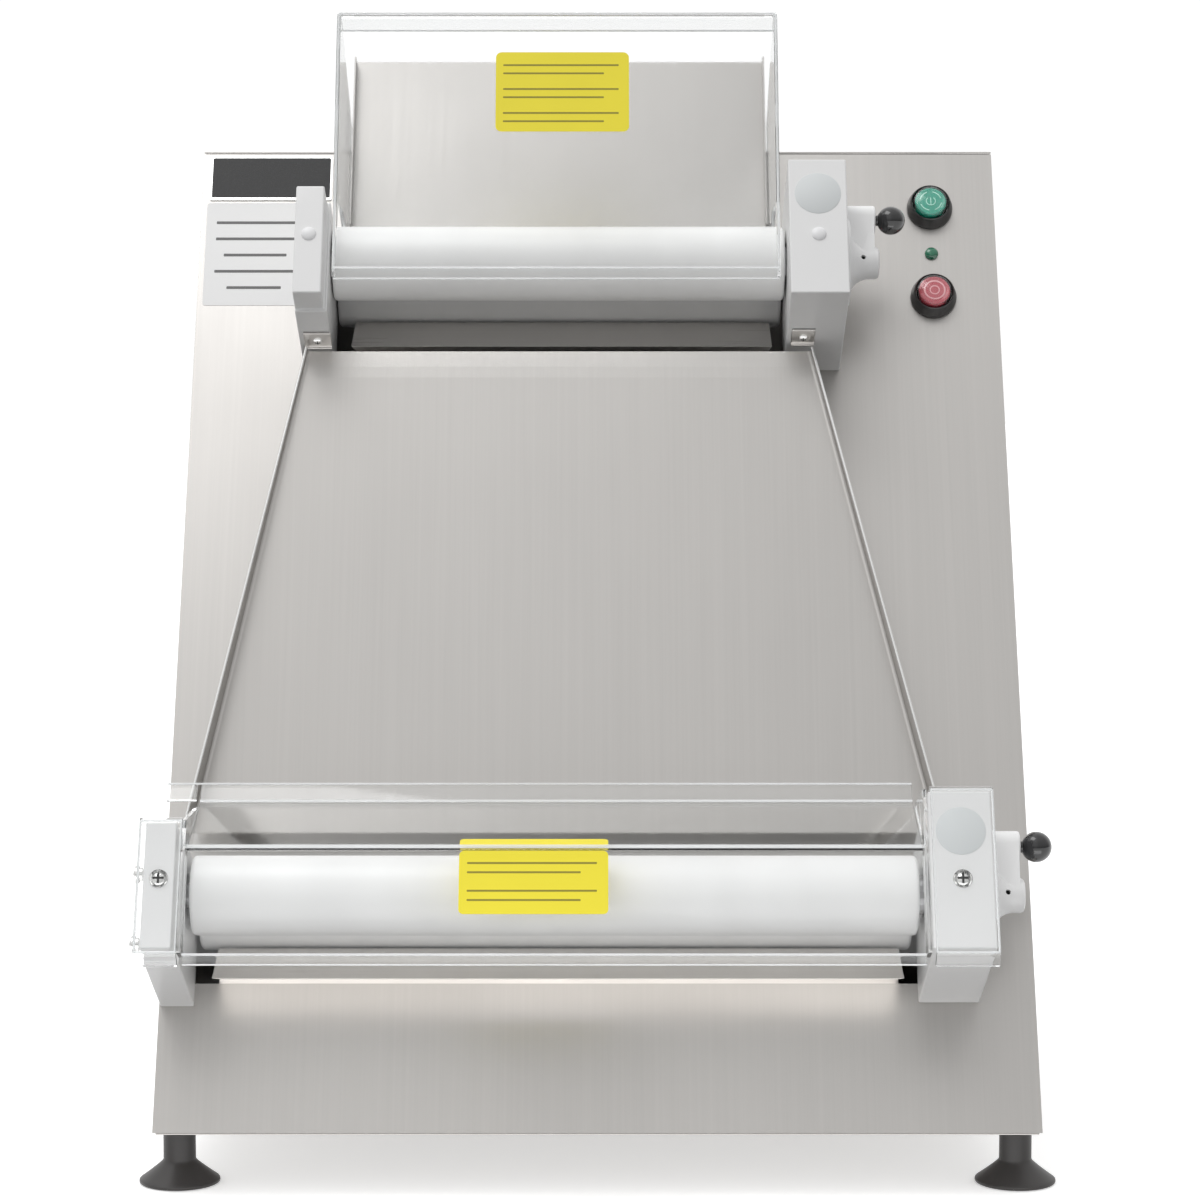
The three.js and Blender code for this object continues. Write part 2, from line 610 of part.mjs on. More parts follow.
function transferTray() {
  const { top, foot: low } = TRAY;
  const thickness = 1.2;
  const profile = [[low.up, low.out], [top.up - 16, top.out - 0.3], [top.up, top.out]];
  const floorBand = extrudeX(bentSheet(profile, thickness), low.left - 5, low.right + 5);
  const outline = new THREE.Shape([
    new THREE.Vector2(top.left, top.up + 1), new THREE.Vector2(low.left, low.up - 1),
    new THREE.Vector2(low.right, low.up - 1), new THREE.Vector2(top.right, top.up + 1),
  ]);
  const trapezoid = new THREE.ExtrudeGeometry(outline, { depth: 80, bevelEnabled: false });
  const floor = common(floorBand, trapezoid);
  const rims = ['left', 'right'].map((side) => {
    const run = Math.hypot(top[side] - low[side], top.up - low.up);
    const drop = [[0, low.out], [run, top.out], [run, top.out + top.wall], [0, low.out + low.wall]];
    const rim = extrudeX(drop, 0, thickness);
    const turn = Math.atan2(low[side] - top[side], top.up - low.up);
    const inward = side === 'left' ? 0 : -thickness;
    return rim.translate(inward, 0, 0).rotateZ(turn).translate(low[side], low.up, 0);
  });
  return join(floor, ...rims);
}

function trayBracket(x0, x1, underside) {
  const top = underside - GAP;
  return extrudeX(bentSheet([[top, 62], [top, 43], [top - 3.2, 43]], -1.5), x0, x1);
}

// ---- Drive inside the body ----
function driveMotor() {
  const floorTop = slope.position.z + 0.3;
  const barrel = barX(MOTOR.left, MOTOR.right, DRIVE_Y, DRIVE_Z - 35, MOTOR.radius, 24);
  const gearbox = box(
    [MOTOR.right - 5, MOTOR.gearbox], [DRIVE_Y - 52, DRIVE_Y + 52], [DRIVE_Z - 95, DRIVE_Z + 40]);
  const feet = [MOTOR.left + 25, MOTOR.right - 45].map((x) => box(
    [x, x + 24], [DRIVE_Y - 60, DRIVE_Y + 60], [floorTop, DRIVE_Z - 80]));
  const rim = box([MOTOR.left + 10, MOTOR.gearbox], [DRIVE_Y - 62, DRIVE_Y + 62], [floorTop, floorTop + 6]);
  const bore = barX(MOTOR.gearbox - 40, MOTOR.gearbox + 1, DRIVE_Y, DRIVE_Z, DRIVE_SHAFT_RADIUS + GAP);
  return cut(join(barrel, gearbox, ...feet, rim), bore);
}

function chainRange(head) {
  const start = HEAD_X + head.span / 2 + 6;
  return [start, start + CHAIN.width];
}

function driveShaft() {
  const reach = chainRange(HEADS.lower)[1] + 4;
  const shaft = barX(MOTOR.gearbox - 38, reach, DRIVE_Y, DRIVE_Z, DRIVE_SHAFT_RADIUS);
  const wheels = Object.values(HEADS).map((head) => {
    const [x0, x1] = chainRange(head);
    return barX(x0 + 0.5, x1 - 0.5, DRIVE_Y, DRIVE_Z, DRIVE_SPROCKET_RADIUS, 20);
  });
  return join(shaft, ...wheels);
}

function chain(head) {
  const driven = nipPoint(head, 0, 0);
  const a = new THREE.Vector2(DRIVE_Y, DRIVE_Z);
  const b = upright(driven.x, driven.y);
  const inside = 2 * GAP;
  const outline = chainLoop(a, DRIVE_SPROCKET_RADIUS, b, SPROCKET_RADIUS, inside + CHAIN.thickness);
  const hole = chainLoop(a, DRIVE_SPROCKET_RADIUS, b, SPROCKET_RADIUS, inside);
  return extrudeX(outline, ...chainRange(head), [hole]);
}

function powerInlet() {
  const around = (halfWidth, y, halfHeight) => box(
    [INLET.x - halfWidth, INLET.x + halfWidth], y, [INLET.z - halfHeight, INLET.z + halfHeight]);
  const flange = around(25, [BODY_DEPTH + GAP, BODY_DEPTH + 3.5], 17);
  const shell = around(INLET.halfWidth, [BODY_DEPTH - 26, BODY_DEPTH + 2], INLET.halfHeight);
  const socket = around(12.5, [BODY_DEPTH - 18, BODY_DEPTH + 5], 8.5);
  const pins = [[-7, -1], [0, 2], [7, -1]].map(([dx, dz]) => box(
    [INLET.x + dx - 2, INLET.x + dx + 2], [BODY_DEPTH - 20, BODY_DEPTH - 3],
    [INLET.z + dz - 1, INLET.z + dz + 1]));
  return join(cut(join(flange, shell), socket), ...pins);
}

// ---- Assembly ----
add(slope, 'front_panel', frontPanel(), steel);
add(model, 'left_side_panel', sidePanel(-1), steel);
add(model, 'right_side_panel', sidePanel(1), steel);
add(model, 'top_panel', topPanel(), steel);
add(model, 'rear_cover', rearCover(), steel);
add(model, 'base_plate', basePlate(), steel);
for (const [name, y] of [['front', FOOT_INSET], ['rear', BODY_DEPTH - FOOT_INSET]]) {
  add(model, `${name}_left_foot`, foot(-FOOT_X, y), rubber);
  add(model, `${name}_right_foot`, foot(FOOT_X, y), rubber);
}

for (const [name, head] of Object.entries(HEADS)) {
  buildHead(name, head);
}
add(slope, 'upper_guard', upperGuard(), clear);
add(slope, 'lower_guard', lowerGuard(), clear);
add(slope, 'infeed_chute', infeedChute(), steel);
add(slope, 'transfer_tray', transferTray(), steel);
add(slope, 'left_tray_bracket', trayBracket(-198.5, -180, HEADS.upper.bottom - LEFT_HOUSING.step), steel);
add(slope, 'right_tray_bracket', trayBracket(131, 147, HEADS.upper.bottom), steel);

for (const control of CONTROLS.filter(({ cap }) => cap)) {
  add(slope, `${control.name}_bezel`, bezel(control.up), blackPlastic);
  add(slope, `${control.name}_button`, buttonCap(control.up), control.cap);
}
add(slope, 'pilot_light', pilotLight(), greenPlastic);

add(model, 'drive_motor', driveMotor(), darkSteel);
add(model, 'drive_shaft', driveShaft(), darkSteel);
add(model, 'upper_chain', chain(HEADS.upper), darkSteel);
add(model, 'lower_chain', chain(HEADS.lower), darkSteel);
add(model, 'power_inlet', powerInlet(), blackPlastic);

// The origin is the middle of the footprint, on the floor.
const bounds = new THREE.Box3().setFromObject(model);
model.position.set(-(bounds.min.x + bounds.max.x) / 2, -(bounds.min.y + bounds.max.y) / 2, -bounds.min.z);

export default model;
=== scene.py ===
# Looks of a two-stage countertop dough sheeter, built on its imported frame.
# Shapes are worked out in millimetres in the sloping frame of the front panel:
# X across, Y up the panel from its foot, Z outward from its face.
import json
import math

import bmesh
import bpy
from mathutils import Matrix, Vector

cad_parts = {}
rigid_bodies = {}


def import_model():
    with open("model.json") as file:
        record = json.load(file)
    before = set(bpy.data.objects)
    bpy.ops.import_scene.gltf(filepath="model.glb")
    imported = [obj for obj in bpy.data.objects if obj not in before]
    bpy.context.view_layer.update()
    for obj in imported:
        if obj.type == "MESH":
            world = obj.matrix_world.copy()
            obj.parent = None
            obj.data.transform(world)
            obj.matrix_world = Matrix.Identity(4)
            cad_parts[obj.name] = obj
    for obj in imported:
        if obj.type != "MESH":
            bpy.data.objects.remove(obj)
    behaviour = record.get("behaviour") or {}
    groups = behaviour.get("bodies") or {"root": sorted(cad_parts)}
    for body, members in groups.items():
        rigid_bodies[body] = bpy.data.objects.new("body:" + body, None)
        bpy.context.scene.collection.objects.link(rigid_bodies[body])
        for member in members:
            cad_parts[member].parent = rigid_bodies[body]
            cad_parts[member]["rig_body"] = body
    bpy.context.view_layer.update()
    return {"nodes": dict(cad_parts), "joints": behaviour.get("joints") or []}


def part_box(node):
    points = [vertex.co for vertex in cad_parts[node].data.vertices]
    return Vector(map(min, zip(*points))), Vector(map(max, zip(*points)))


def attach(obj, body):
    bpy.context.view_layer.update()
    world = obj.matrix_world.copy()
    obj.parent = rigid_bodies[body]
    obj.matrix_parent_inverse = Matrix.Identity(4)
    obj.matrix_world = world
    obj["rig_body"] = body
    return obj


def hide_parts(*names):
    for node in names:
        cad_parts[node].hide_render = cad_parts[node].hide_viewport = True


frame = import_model()
NODES = frame["nodes"]
JOINTS = {joint["name"]: joint for joint in frame["joints"]}

MM = 0.001
LEAN = math.radians(29)
# The line through a head's two roller axes leans down from straight out by this angle.
AXES_TILT = math.asin(0.145)
PANEL_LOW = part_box("front_panel")[0]


# ---- Frames ----
def basis(x, y, z, origin=(0, 0, 0)):
    """The matrix whose axes are x, y and z."""
    matrix = Matrix((x, y, z)).transposed().to_4x4()
    matrix.translation = Vector(origin)
    return matrix


ACROSS = Vector((1, 0, 0))
UP = Vector((0, math.sin(LEAN), math.cos(LEAN)))
OUT = Vector((0, -math.cos(LEAN), math.sin(LEAN)))
ORIGIN = Vector((0, PANEL_LOW.y, PANEL_LOW.z))
SLOPE = basis(ACROSS, UP, OUT, ORIGIN) @ Matrix.Scale(MM, 4)
LEVEL = Matrix.Scale(MM, 4)


def extent(node):
    """Lowest and highest corner of a CAD node in the sloping frame, in millimetres."""
    inverse = SLOPE.inverted()
    points = [inverse @ vertex.co for vertex in NODES[node].data.vertices]
    low = Vector(min(p[axis] for p in points) for axis in range(3))
    high = Vector(max(p[axis] for p in points) for axis in range(3))
    return low, high


def facing_out(x, up, out):
    """A place for a turned piece or plate whose local X points out of the panel."""
    return SLOPE @ basis((0, 0, 1), (1, 0, 0), (0, 1, 0), (x, up, out))


def facing_down(x, up, out):
    """A place for a turned piece whose local X points down the slope."""
    return SLOPE @ basis((0, -1, 0), (1, 0, 0), (0, 0, -1), (x, up, out))


def facing_side(x, up, out, side):
    """A place for a turned piece whose local X points to the left (-1) or the right (+1)."""
    return SLOPE @ basis((side, 0, 0), (0, side, 0), (0, 0, 1), (x, up, out))


# ---- Materials ----
def new_material(name, color, **sockets):
    """A Principled material; keyword names are socket names with underscores."""
    material = bpy.data.materials.new(name)
    material.use_nodes = True
    material.diffuse_color = (*color, 1)
    shader = material.node_tree.nodes["Principled BSDF"]
    shader.inputs["Base Color"].default_value = (*color, 1)
    for key, value in sockets.items():
        shader.inputs[key.replace("_", " ")].default_value = value
    return material


def add_node(material, kind, **settings):
    node = material.node_tree.nodes.new(kind)
    for key, value in settings.items():
        setattr(node, key, value)
    return node


def wire(material, start, end):
    material.node_tree.links.new(start, end)


def pattern(material, size, turn=0.0, detail=3.0, kind="ShaderNodeTexNoise"):
    """Noise whose features have the given size in metres along X, Y and Z, turned about X."""
    place = add_node(material, "ShaderNodeTexCoord")
    mapping = add_node(material, "ShaderNodeMapping", vector_type="TEXTURE")
    mapping.inputs["Rotation"].default_value = (turn, 0, 0)
    mapping.inputs["Scale"].default_value = size
    texture = add_node(material, kind)
    texture.inputs["Scale"].default_value = 1.0
    if "Detail" in texture.inputs:
        texture.inputs["Detail"].default_value = detail
    wire(material, place.outputs["Object"], mapping.inputs["Vector"])
    wire(material, mapping.outputs["Vector"], texture.inputs["Vector"])
    return texture.outputs[0]


def spread(material, value, low, high, start=0.3, end=0.7):
    """A value of about start to end, mapped to low to high."""
    node = add_node(material, "ShaderNodeMapRange")
    for key, number in {"From Min": start, "From Max": end, "To Min": low, "To Max": high}.items():
        node.inputs[key].default_value = number
    wire(material, value, node.inputs["Value"])
    return node.outputs["Result"]


def blend_colors(material, factor, first, second):
    node = add_node(material, "ShaderNodeMix", data_type="RGBA")
    wire(material, factor, node.inputs["Factor"])
    for socket, color in ((node.inputs["A"], first), (node.inputs["B"], second)):
        if isinstance(color, tuple):
            socket.default_value = (*color, 1)
        else:
            wire(material, color, socket)
    return node.outputs["Result"]


def plug(material, value, socket):
    shader = material.node_tree.nodes["Principled BSDF"]
    wire(material, value, shader.inputs[socket])


def add_bump(material, height, strength, depth):
    node = add_node(material, "ShaderNodeBump")
    node.inputs["Strength"].default_value = strength
    node.inputs["Distance"].default_value = depth
    wire(material, height, node.inputs["Height"])
    plug(material, node.outputs["Normal"], "Normal")


def shade(color, factor):
    return tuple(min(channel * factor, 1.0) for channel in color)


FINE = 0.0007
LONG = 0.12
SLOPE_TURN = math.pi / 2 - LEAN
TRAY_TOP = {"up": 532.0, "out": 41.0, "left": -197.6, "right": 145.5, "wall": 7.0}
TRAY_BEND = {"up": 516.0, "out": 40.7}
TRAY_FOOT = {"up": 193.0, "out": 13.0, "left": -265.0, "right": 222.3, "wall": 24.0}
TRAY_TILT = math.atan2(TRAY_BEND["out"] - TRAY_FOOT["out"], TRAY_BEND["up"] - TRAY_FOOT["up"])


def brushed(name, color, direction, roughness=0.3):
    """Brushed stainless sheet: streaks along one direction, with soft cloudiness."""
    material = new_material(name, color, Metallic=1.0, Roughness=roughness)
    sizes = {"slope": (FINE, LONG, FINE), "tray": (FINE, LONG, FINE),
             "upright": (FINE, FINE, LONG), "across": (LONG, FINE, FINE)}
    turn = {"slope": SLOPE_TURN, "tray": SLOPE_TURN + TRAY_TILT}.get(direction, 0.0)
    size = sizes[direction]
    streaks = pattern(material, size, turn, 4.0)
    broad = pattern(material, tuple(4 * value for value in size), turn, 2.0)
    clouds = pattern(material, (0.11, 0.16, 0.16), turn, 2.0)
    grain = blend_colors(material, spread(material, broad, 0.25, 0.75), streaks, broad)
    tone = blend_colors(material, spread(material, grain, 0, 1), shade(color, 0.975), shade(color, 1.025))
    plug(material, tone, "Base Color")
    wear = add_node(material, "ShaderNodeMath", operation="ADD")
    wire(material, spread(material, streaks, -0.03, 0.03), wear.inputs[0])
    wire(material, spread(material, clouds, roughness - 0.03, roughness + 0.04), wear.inputs[1])
    plug(material, wear.outputs[0], "Roughness")
    add_bump(material, streaks, 0.05, 0.00003)
    return material


def grained(name, color, roughness, grain, depth, tint, **sockets):
    """Paint, plastic or rubber: fine texture in the surface and slight unevenness in its tone."""
    material = new_material(name, color, Roughness=roughness, **sockets)
    fine = pattern(material, (grain, grain, grain), 0, 3.0)
    broad = pattern(material, (0.05, 0.05, 0.05), 0, 3.0)
    tone = blend_colors(
        material, spread(material, broad, 0, 1), shade(color, 1 - tint), shade(color, 1 + tint))
    plug(material, tone, "Base Color")
    plug(material, spread(material, broad, roughness - 0.04, roughness + 0.05), "Roughness")
    add_bump(material, fine, 0.25, depth)
    return material


def turned_finish(name, color, metallic, roughness, pitch=0.0005):
    """Fine rings left by a lathe across the X axis."""
    material = new_material(name, color, Metallic=metallic, Roughness=roughness)
    rings = pattern(material, (pitch, 0.2, 0.2), 0, 2.0)
    broad = pattern(material, (0.03, 0.05, 0.05), 0, 3.0)
    tone = blend_colors(material, spread(material, broad, 0, 1), shade(color, 0.97), shade(color, 1.02))
    plug(material, tone, "Base Color")
    plug(material, spread(material, rings, roughness - 0.04, roughness + 0.05), "Roughness")
    add_bump(material, rings, 0.2, 0.00002)
    return material


def see_through(name, color, roughness=0.03, ior=1.46):
    """Clear plastic that lets lamps through, with faint wiping marks."""
    material = new_material(
        name, color, Roughness=roughness, IOR=ior, Transmission_Weight=1.0)
    marks = pattern(material, (0.004, 0.06, 0.06), 0.5, 4.0)
    plug(material, spread(material, marks, roughness, roughness + 0.05), "Roughness")
    shader = material.node_tree.nodes["Principled BSDF"]
    output = material.node_tree.nodes["Material Output"]
    light = add_node(material, "ShaderNodeLightPath")
    clear = add_node(material, "ShaderNodeBsdfTransparent")
    clear.inputs["Color"].default_value = (0.97, 0.98, 0.98, 1)
    mixer = add_node(material, "ShaderNodeMixShader")
    wire(material, light.outputs["Is Shadow Ray"], mixer.inputs[0])
    wire(material, shader.outputs[0], mixer.inputs[1])
    wire(material, clear.outputs[0], mixer.inputs[2])
    wire(material, mixer.outputs[0], output.inputs["Surface"])
    return material


def sparkling(name, color, glitter):
    """A dark plate with a glittering ground."""
    material = new_material(name, color, Metallic=0.2, Roughness=0.5)
    cells = pattern(material, (0.0008, 0.0008, 0.0008), 0, kind="ShaderNodeTexVoronoi")
    tone = blend_colors(material, spread(material, cells, 0, 1, 0.1, 0.8), glitter, color)
    plug(material, tone, "Base Color")
    add_bump(material, cells, 0.5, 0.0001)
    return material


STEEL = (0.48, 0.466, 0.45)
panel_steel = brushed("panel_steel", STEEL, "slope", 0.36)
tray_steel = brushed("tray_steel", shade(STEEL, 1.06), "tray", 0.36)
# Painted shade: a darker copy of the panel steel for the chute, standing for its dimmer reflection of the
# lamps.
chute_steel_painted_shade = brushed("chute_steel_painted_shade", shade(STEEL, 0.8), "slope", 0.4)
upright_steel = brushed("upright_steel", STEEL, "upright", 0.32)
cross_steel = brushed("cross_steel", shade(STEEL, 1.25), "across", 0.3)
# Painted reflection: a much brighter copy of the steel for the lower scraper, standing for the white roller
# and floor it reflects.
painted_reflection_steel = brushed("painted_reflection_steel", shade(STEEL, 1.75), "across", 0.45)
machined = turned_finish("machined_steel", (0.42, 0.42, 0.43), 1.0, 0.34)
zinc = turned_finish("bright_screw", (0.72, 0.72, 0.71), 1.0, 0.24, pitch=0.001)
blackened = turned_finish("chain_steel", (0.22, 0.21, 0.2), 1.0, 0.42, pitch=0.002)
enamel = grained("housing_enamel", (0.80, 0.80, 0.80), 0.42, 0.0009, 0.00004, 0.015, Coat_Weight=0.25)
plug_white = grained("plug_white", (0.82, 0.82, 0.83), 0.35, 0.002, 0.00002, 0.01)
disc_grey = grained("disc_grey", (0.66, 0.685, 0.69), 0.5, 0.001, 0.00002, 0.01)
polymer = turned_finish("roller_polymer", (0.92, 0.92, 0.915), 0.0, 0.36)
lever_white = grained("lever_plastic", (0.88, 0.88, 0.88), 0.34, 0.0012, 0.00003, 0.015)
gloss_black = grained("gloss_black", (0.012, 0.012, 0.013), 0.12, 0.004, 0.00001, 0.1, Coat_Weight=0.5)
satin_black = grained("satin_black", (0.028, 0.027, 0.027), 0.36, 0.001, 0.00004, 0.1)
rubber = grained("foot_rubber", (0.036, 0.033, 0.032), 0.42, 0.0008, 0.00006, 0.15)
motor_paint = grained("motor_enamel", (0.07, 0.075, 0.085), 0.4, 0.0015, 0.00008, 0.06)
clear_sheet = see_through("clear_sheet", (0.985, 0.99, 0.99))
# Painted highlight: a bright, partly clear paint for the strips that stand for light gathered along the
# guards' folds and edges.
lit_edge = grained("lit_edge", (0.93, 0.945, 0.95), 0.2, 0.003, 0.00001, 0.03, Transmission_Weight=0.45)
clear_boot = see_through("clear_boot", (0.97, 0.98, 0.98), 0.08, 1.42)
green_cap = grained("green_cap", (0.004, 0.30, 0.20), 0.2, 0.003, 0.00002, 0.05, Coat_Weight=0.4)
red_cap = grained("red_cap", (0.46, 0.05, 0.075), 0.22, 0.003, 0.00002, 0.05, Coat_Weight=0.4)
green_mark = grained("green_mark", (0.45, 0.78, 0.66), 0.3, 0.003, 0.00002, 0.02)
red_mark = grained("red_mark", (0.80, 0.42, 0.45), 0.3, 0.003, 0.00002, 0.02)
pilot_green = grained("pilot_lens", (0.004, 0.16, 0.08), 0.1, 0.002, 0.00002, 0.1, Coat_Weight=0.8)
yellow_film = grained("yellow_film", (0.93, 0.80, 0.03), 0.38, 0.0012, 0.00001, 0.02)
film_ink = grained("film_ink", (0.30, 0.26, 0.02), 0.4, 0.0012, 0.00001, 0.05)
white_film = grained("white_film", (0.84, 0.84, 0.84), 0.4, 0.0012, 0.00001, 0.01)
grey_ink = grained("grey_ink", (0.12, 0.12, 0.12), 0.4, 0.0012, 0.00001, 0.1)
plate_dark = sparkling("plate_dark", (0.024, 0.024, 0.025), (0.08, 0.08, 0.08))
# Near black: the own colour of the black set screws, and painted shade for the screw recesses.
black_and_recess_shade = grained("black_and_recess_shade", (0.01, 0.01, 0.01), 0.7, 0.002, 0.00005, 0.1)


# ---- Shapes: (points, faces) in millimetres ----
def turned(profile, sides=72):
    """A profile of (x, radius) turned about X."""
    points, faces, rings = [], [], []
    for x, radius in profile:
        if radius < 1e-6:
            rings.append([len(points)])
            points.append((x, 0, 0))
            continue
        rings.append(list(range(len(points), len(points) + sides)))
        for step in range(sides):
            angle = 2 * math.pi * step / sides
            points.append((x, radius * math.cos(angle), radius * math.sin(angle)))
    for first, second in zip(rings, rings[1:]):
        for step in range(sides):
            after = (step + 1) % sides
            corners = [first[step % len(first)], first[after % len(first)],
                       second[after % len(second)], second[step % len(second)]]
            unique = list(dict.fromkeys(corners))
            if len(unique) > 2:
                faces.append(unique)
    return points, faces


def arc(cx, cy, radius, start, end, steps):
    """Points on an arc, angles in degrees."""
    angles = [math.radians(start + (end - start) * step / steps) for step in range(steps + 1)]
    return [(cx + radius * math.cos(angle), cy + radius * math.sin(angle)) for angle in angles]


def extruded(outline, x0, x1):
    """An outline in Y and Z between two places along X."""
    count = len(outline)
    points = [(x, y, z) for x in (x0, x1) for y, z in outline]
    faces = [list(range(count))[::-1], list(range(count, 2 * count))]
    for step in range(count):
        after = (step + 1) % count
        faces.append([step, after, count + after, count + step])
    return points, faces


def filleted(points, radius, steps=5, closed=False):
    """A line of points with its inner corners rounded, or all of them if it is closed."""
    rounded = []
    last = len(points) - 1
    for index, point in enumerate(points):
        if not closed and index in (0, last):
            rounded.append(tuple(point))
            continue
        here = Vector(point)
        before = Vector(points[index - 1]) - here
        after = Vector(points[(index + 1) % len(points)]) - here
        half = before.angle(after) / 2
        reach = min(radius / math.tan(half), before.length * 0.49, after.length * 0.49)
        start = here + before.normalized() * reach
        end = here + after.normalized() * reach
        for step in range(steps + 1):
            share = step / steps
            curve = start.lerp(here, share).lerp(here.lerp(end, share), share)
            rounded.append((curve.x, curve.y))
    return rounded


def sheet_outline(points, thickness):
    """The outline of a bent sheet from the line of its outer face."""
    offset = []
    last = len(points) - 1
    for index, point in enumerate(points):
        before = Vector(points[max(index - 1, 0)])
        after = Vector(points[min(index + 1, last)])
        here = Vector(point)
        first = (here - before) if index else (after - here)
        second = (after - here) if index < last else (here - before)
        normal_a = Vector((-first.y, first.x)).normalized()
        normal_b = Vector((-second.y, second.x)).normalized()
        middle = (normal_a + normal_b).normalized()
        offset.append(tuple(here + middle * (thickness / middle.dot(normal_a))))
    return list(points) + offset[::-1]


def rounded_rectangle(width, height, radius, steps=6):
    half_w, half_h = width / 2 - radius, height / 2 - radius
    outline = []
    for quarter, (sign_y, sign_z) in enumerate(((1, 1), (-1, 1), (-1, -1), (1, -1))):
        outline += arc(sign_y * half_w, sign_z * half_h, radius, 90 * quarter, 90 * quarter + 90, steps)
    return outline


def plate(width, height, thickness, radius):
    """A flat plate that stands out along X, width along Y and height along Z."""
    return extruded(rounded_rectangle(width, height, radius), 0, thickness)


def shifted(shape, dx):
    """A shape moved along X."""
    points, faces = shape
    return [(x + dx, y, z) for x, y, z in points], faces


def together(*shapes):
    points, faces = [], []
    for more_points, more_faces in shapes:
        start = len(points)
        points += more_points
        faces += [[start + corner for corner in face] for face in more_faces]
    return points, faces


# ---- Pieces ----
MERGE = 1e-7
SMOOTH_ANGLE = 32


def add_bevel(piece, width, segments):
    bevel = piece.modifiers.new("edges", "BEVEL")
    bevel.width = width * MM
    bevel.segments = segments
    bevel.limit_method = "ANGLE"
    bevel.angle_limit = math.radians(30)
    bevel.harden_normals = True


def clean(source, mesh, merge, flatten=False, outward=True):
    """Writes the source's faces to a mesh, with near corners merged and, if asked, flat stretches joined."""
    work = bmesh.new()
    work.from_mesh(source)
    bmesh.ops.remove_doubles(work, verts=work.verts, dist=merge)
    if flatten:
        bmesh.ops.dissolve_limit(
            work, angle_limit=math.radians(0.5), verts=work.verts, edges=work.edges)
    if outward:
        bmesh.ops.recalc_face_normals(work, faces=work.faces)
    work.to_mesh(mesh)
    work.free()


def shape_mesh(name, shape, place):
    """A mesh from a shape in millimetres and the matrix that places it."""
    points, faces = shape
    mesh = bpy.data.meshes.new(name)
    mesh.from_pydata([place @ Vector(point) for point in points], [], faces)
    clean(mesh, mesh, MERGE)
    return mesh


def smooth(mesh, angle=SMOOTH_ANGLE):
    mesh.shade_smooth()
    mesh.set_sharp_from_angle(angle=math.radians(angle))


def new_object(name, mesh, material):
    piece = bpy.data.objects.new(name, mesh)
    bpy.context.scene.collection.objects.link(piece)
    mesh.materials.clear()
    mesh.materials.append(material)
    return piece


def make(name, shape, place, material, body="root", stands_for=(), bevel=0.0,
         segments=3, sharp=SMOOTH_ANGLE):
    """One piece of the machine, from a shape in millimetres and the matrix that places it."""
    mesh = shape_mesh(name, shape, place)
    smooth(mesh, sharp)
    piece = new_object(name, mesh, material)
    if bevel:
        add_bevel(piece, bevel, segments)
    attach(piece, body)
    if stands_for:
        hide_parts(*stands_for)
    return piece


def refine(node, material, bevel, segments=3):
    """A copy of a CAD node with clean faces and rounded edges, which stands for it."""
    mesh = bpy.data.meshes.new(f"{node}_shape")
    clean(NODES[node].data, mesh, 10 * MERGE, flatten=True)
    smooth(mesh)
    piece = new_object(f"{node}_shape", mesh, material)
    add_bevel(piece, bevel, segments)
    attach(piece, NODES[node]["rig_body"])
    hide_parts(node)


def refine_sheet(node, material, bevel, segments=2):
    refine(node, material, bevel, segments)


def finish_node(node, material):
    """Gives a CAD node that keeps its own shape a better material."""
    mesh = NODES[node].data
    mesh.materials.clear()
    mesh.materials.append(material)


# ---- Fasteners ----
def pan_head(radius, height):
    """A turned screw head with a slightly crowned top, its back at x = 0."""
    crown = [(height * math.cos(math.radians(a)), radius * math.sin(math.radians(a)))
             for a in (78, 62, 46, 30, 15)]
    return turned([(0, 0), (0, radius)] + crown + [(height, 0)], 40)


def cross_recess_shade(radius, height):
    """Two crossed dark bars just proud of the head: painted shade that reads as a Phillips recess."""
    long_side, short_side, depth = radius * 1.15, radius * 0.24, height * 0.16
    bars = [plate(long_side, short_side, depth, 0.1), plate(short_side, long_side, depth, 0.1)]
    return together(*[shifted(bar, height * 0.88) for bar in bars])


def screw(name, place, radius, height, material=zinc):
    make(name, pan_head(radius, height), place, material)
    # The recess is not cut: its shade is painted as dark bars.
    make(f"{name}_recess", cross_recess_shade(radius, height), place, black_and_recess_shade)


# ---- Body ----
SIDES = ((-1, "left"), (1, "right"))
refine_sheet("front_panel", panel_steel, 1.1, 3)
for side_name in ("left", "right"):
    refine_sheet(f"{side_name}_side_panel", upright_steel, 0.3)
refine_sheet("top_panel", cross_steel, 0.5)
for panel_name in ("rear_cover", "base_plate"):
    refine_sheet(panel_name, upright_steel, 0.5)


def body_screws():
    """Screws down both edges of the rear cover and over both sides of the body."""
    low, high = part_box("rear_cover")
    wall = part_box("right_side_panel")[1].x / MM
    margin, rows, column = 60, 4, 264
    spacing = ((high.z - low.z) / MM - 2 * margin) / (rows - 1)
    for side, side_word in SIDES:
        for index in range(rows):
            height = low.z / MM + margin + index * spacing
            place = LEVEL @ basis(
                (0, 1, 0), (-1, 0, 0), (0, 0, 1), (side * column, high.y / MM, height))
            screw(f"rear_screw_{side_word}_{index}", place, 3.4, 2.2)
        spots = ((-120, 60), (20, 60), (190, 60), (190, 330), (190, 600))
        for index, (depth, height) in enumerate(spots):
            place = LEVEL @ basis((side, 0, 0), (0, side, 0), (0, 0, 1), (side * wall, depth, height))
            screw(f"side_screw_{side_word}_{index}", place, 3.4, 2.0)


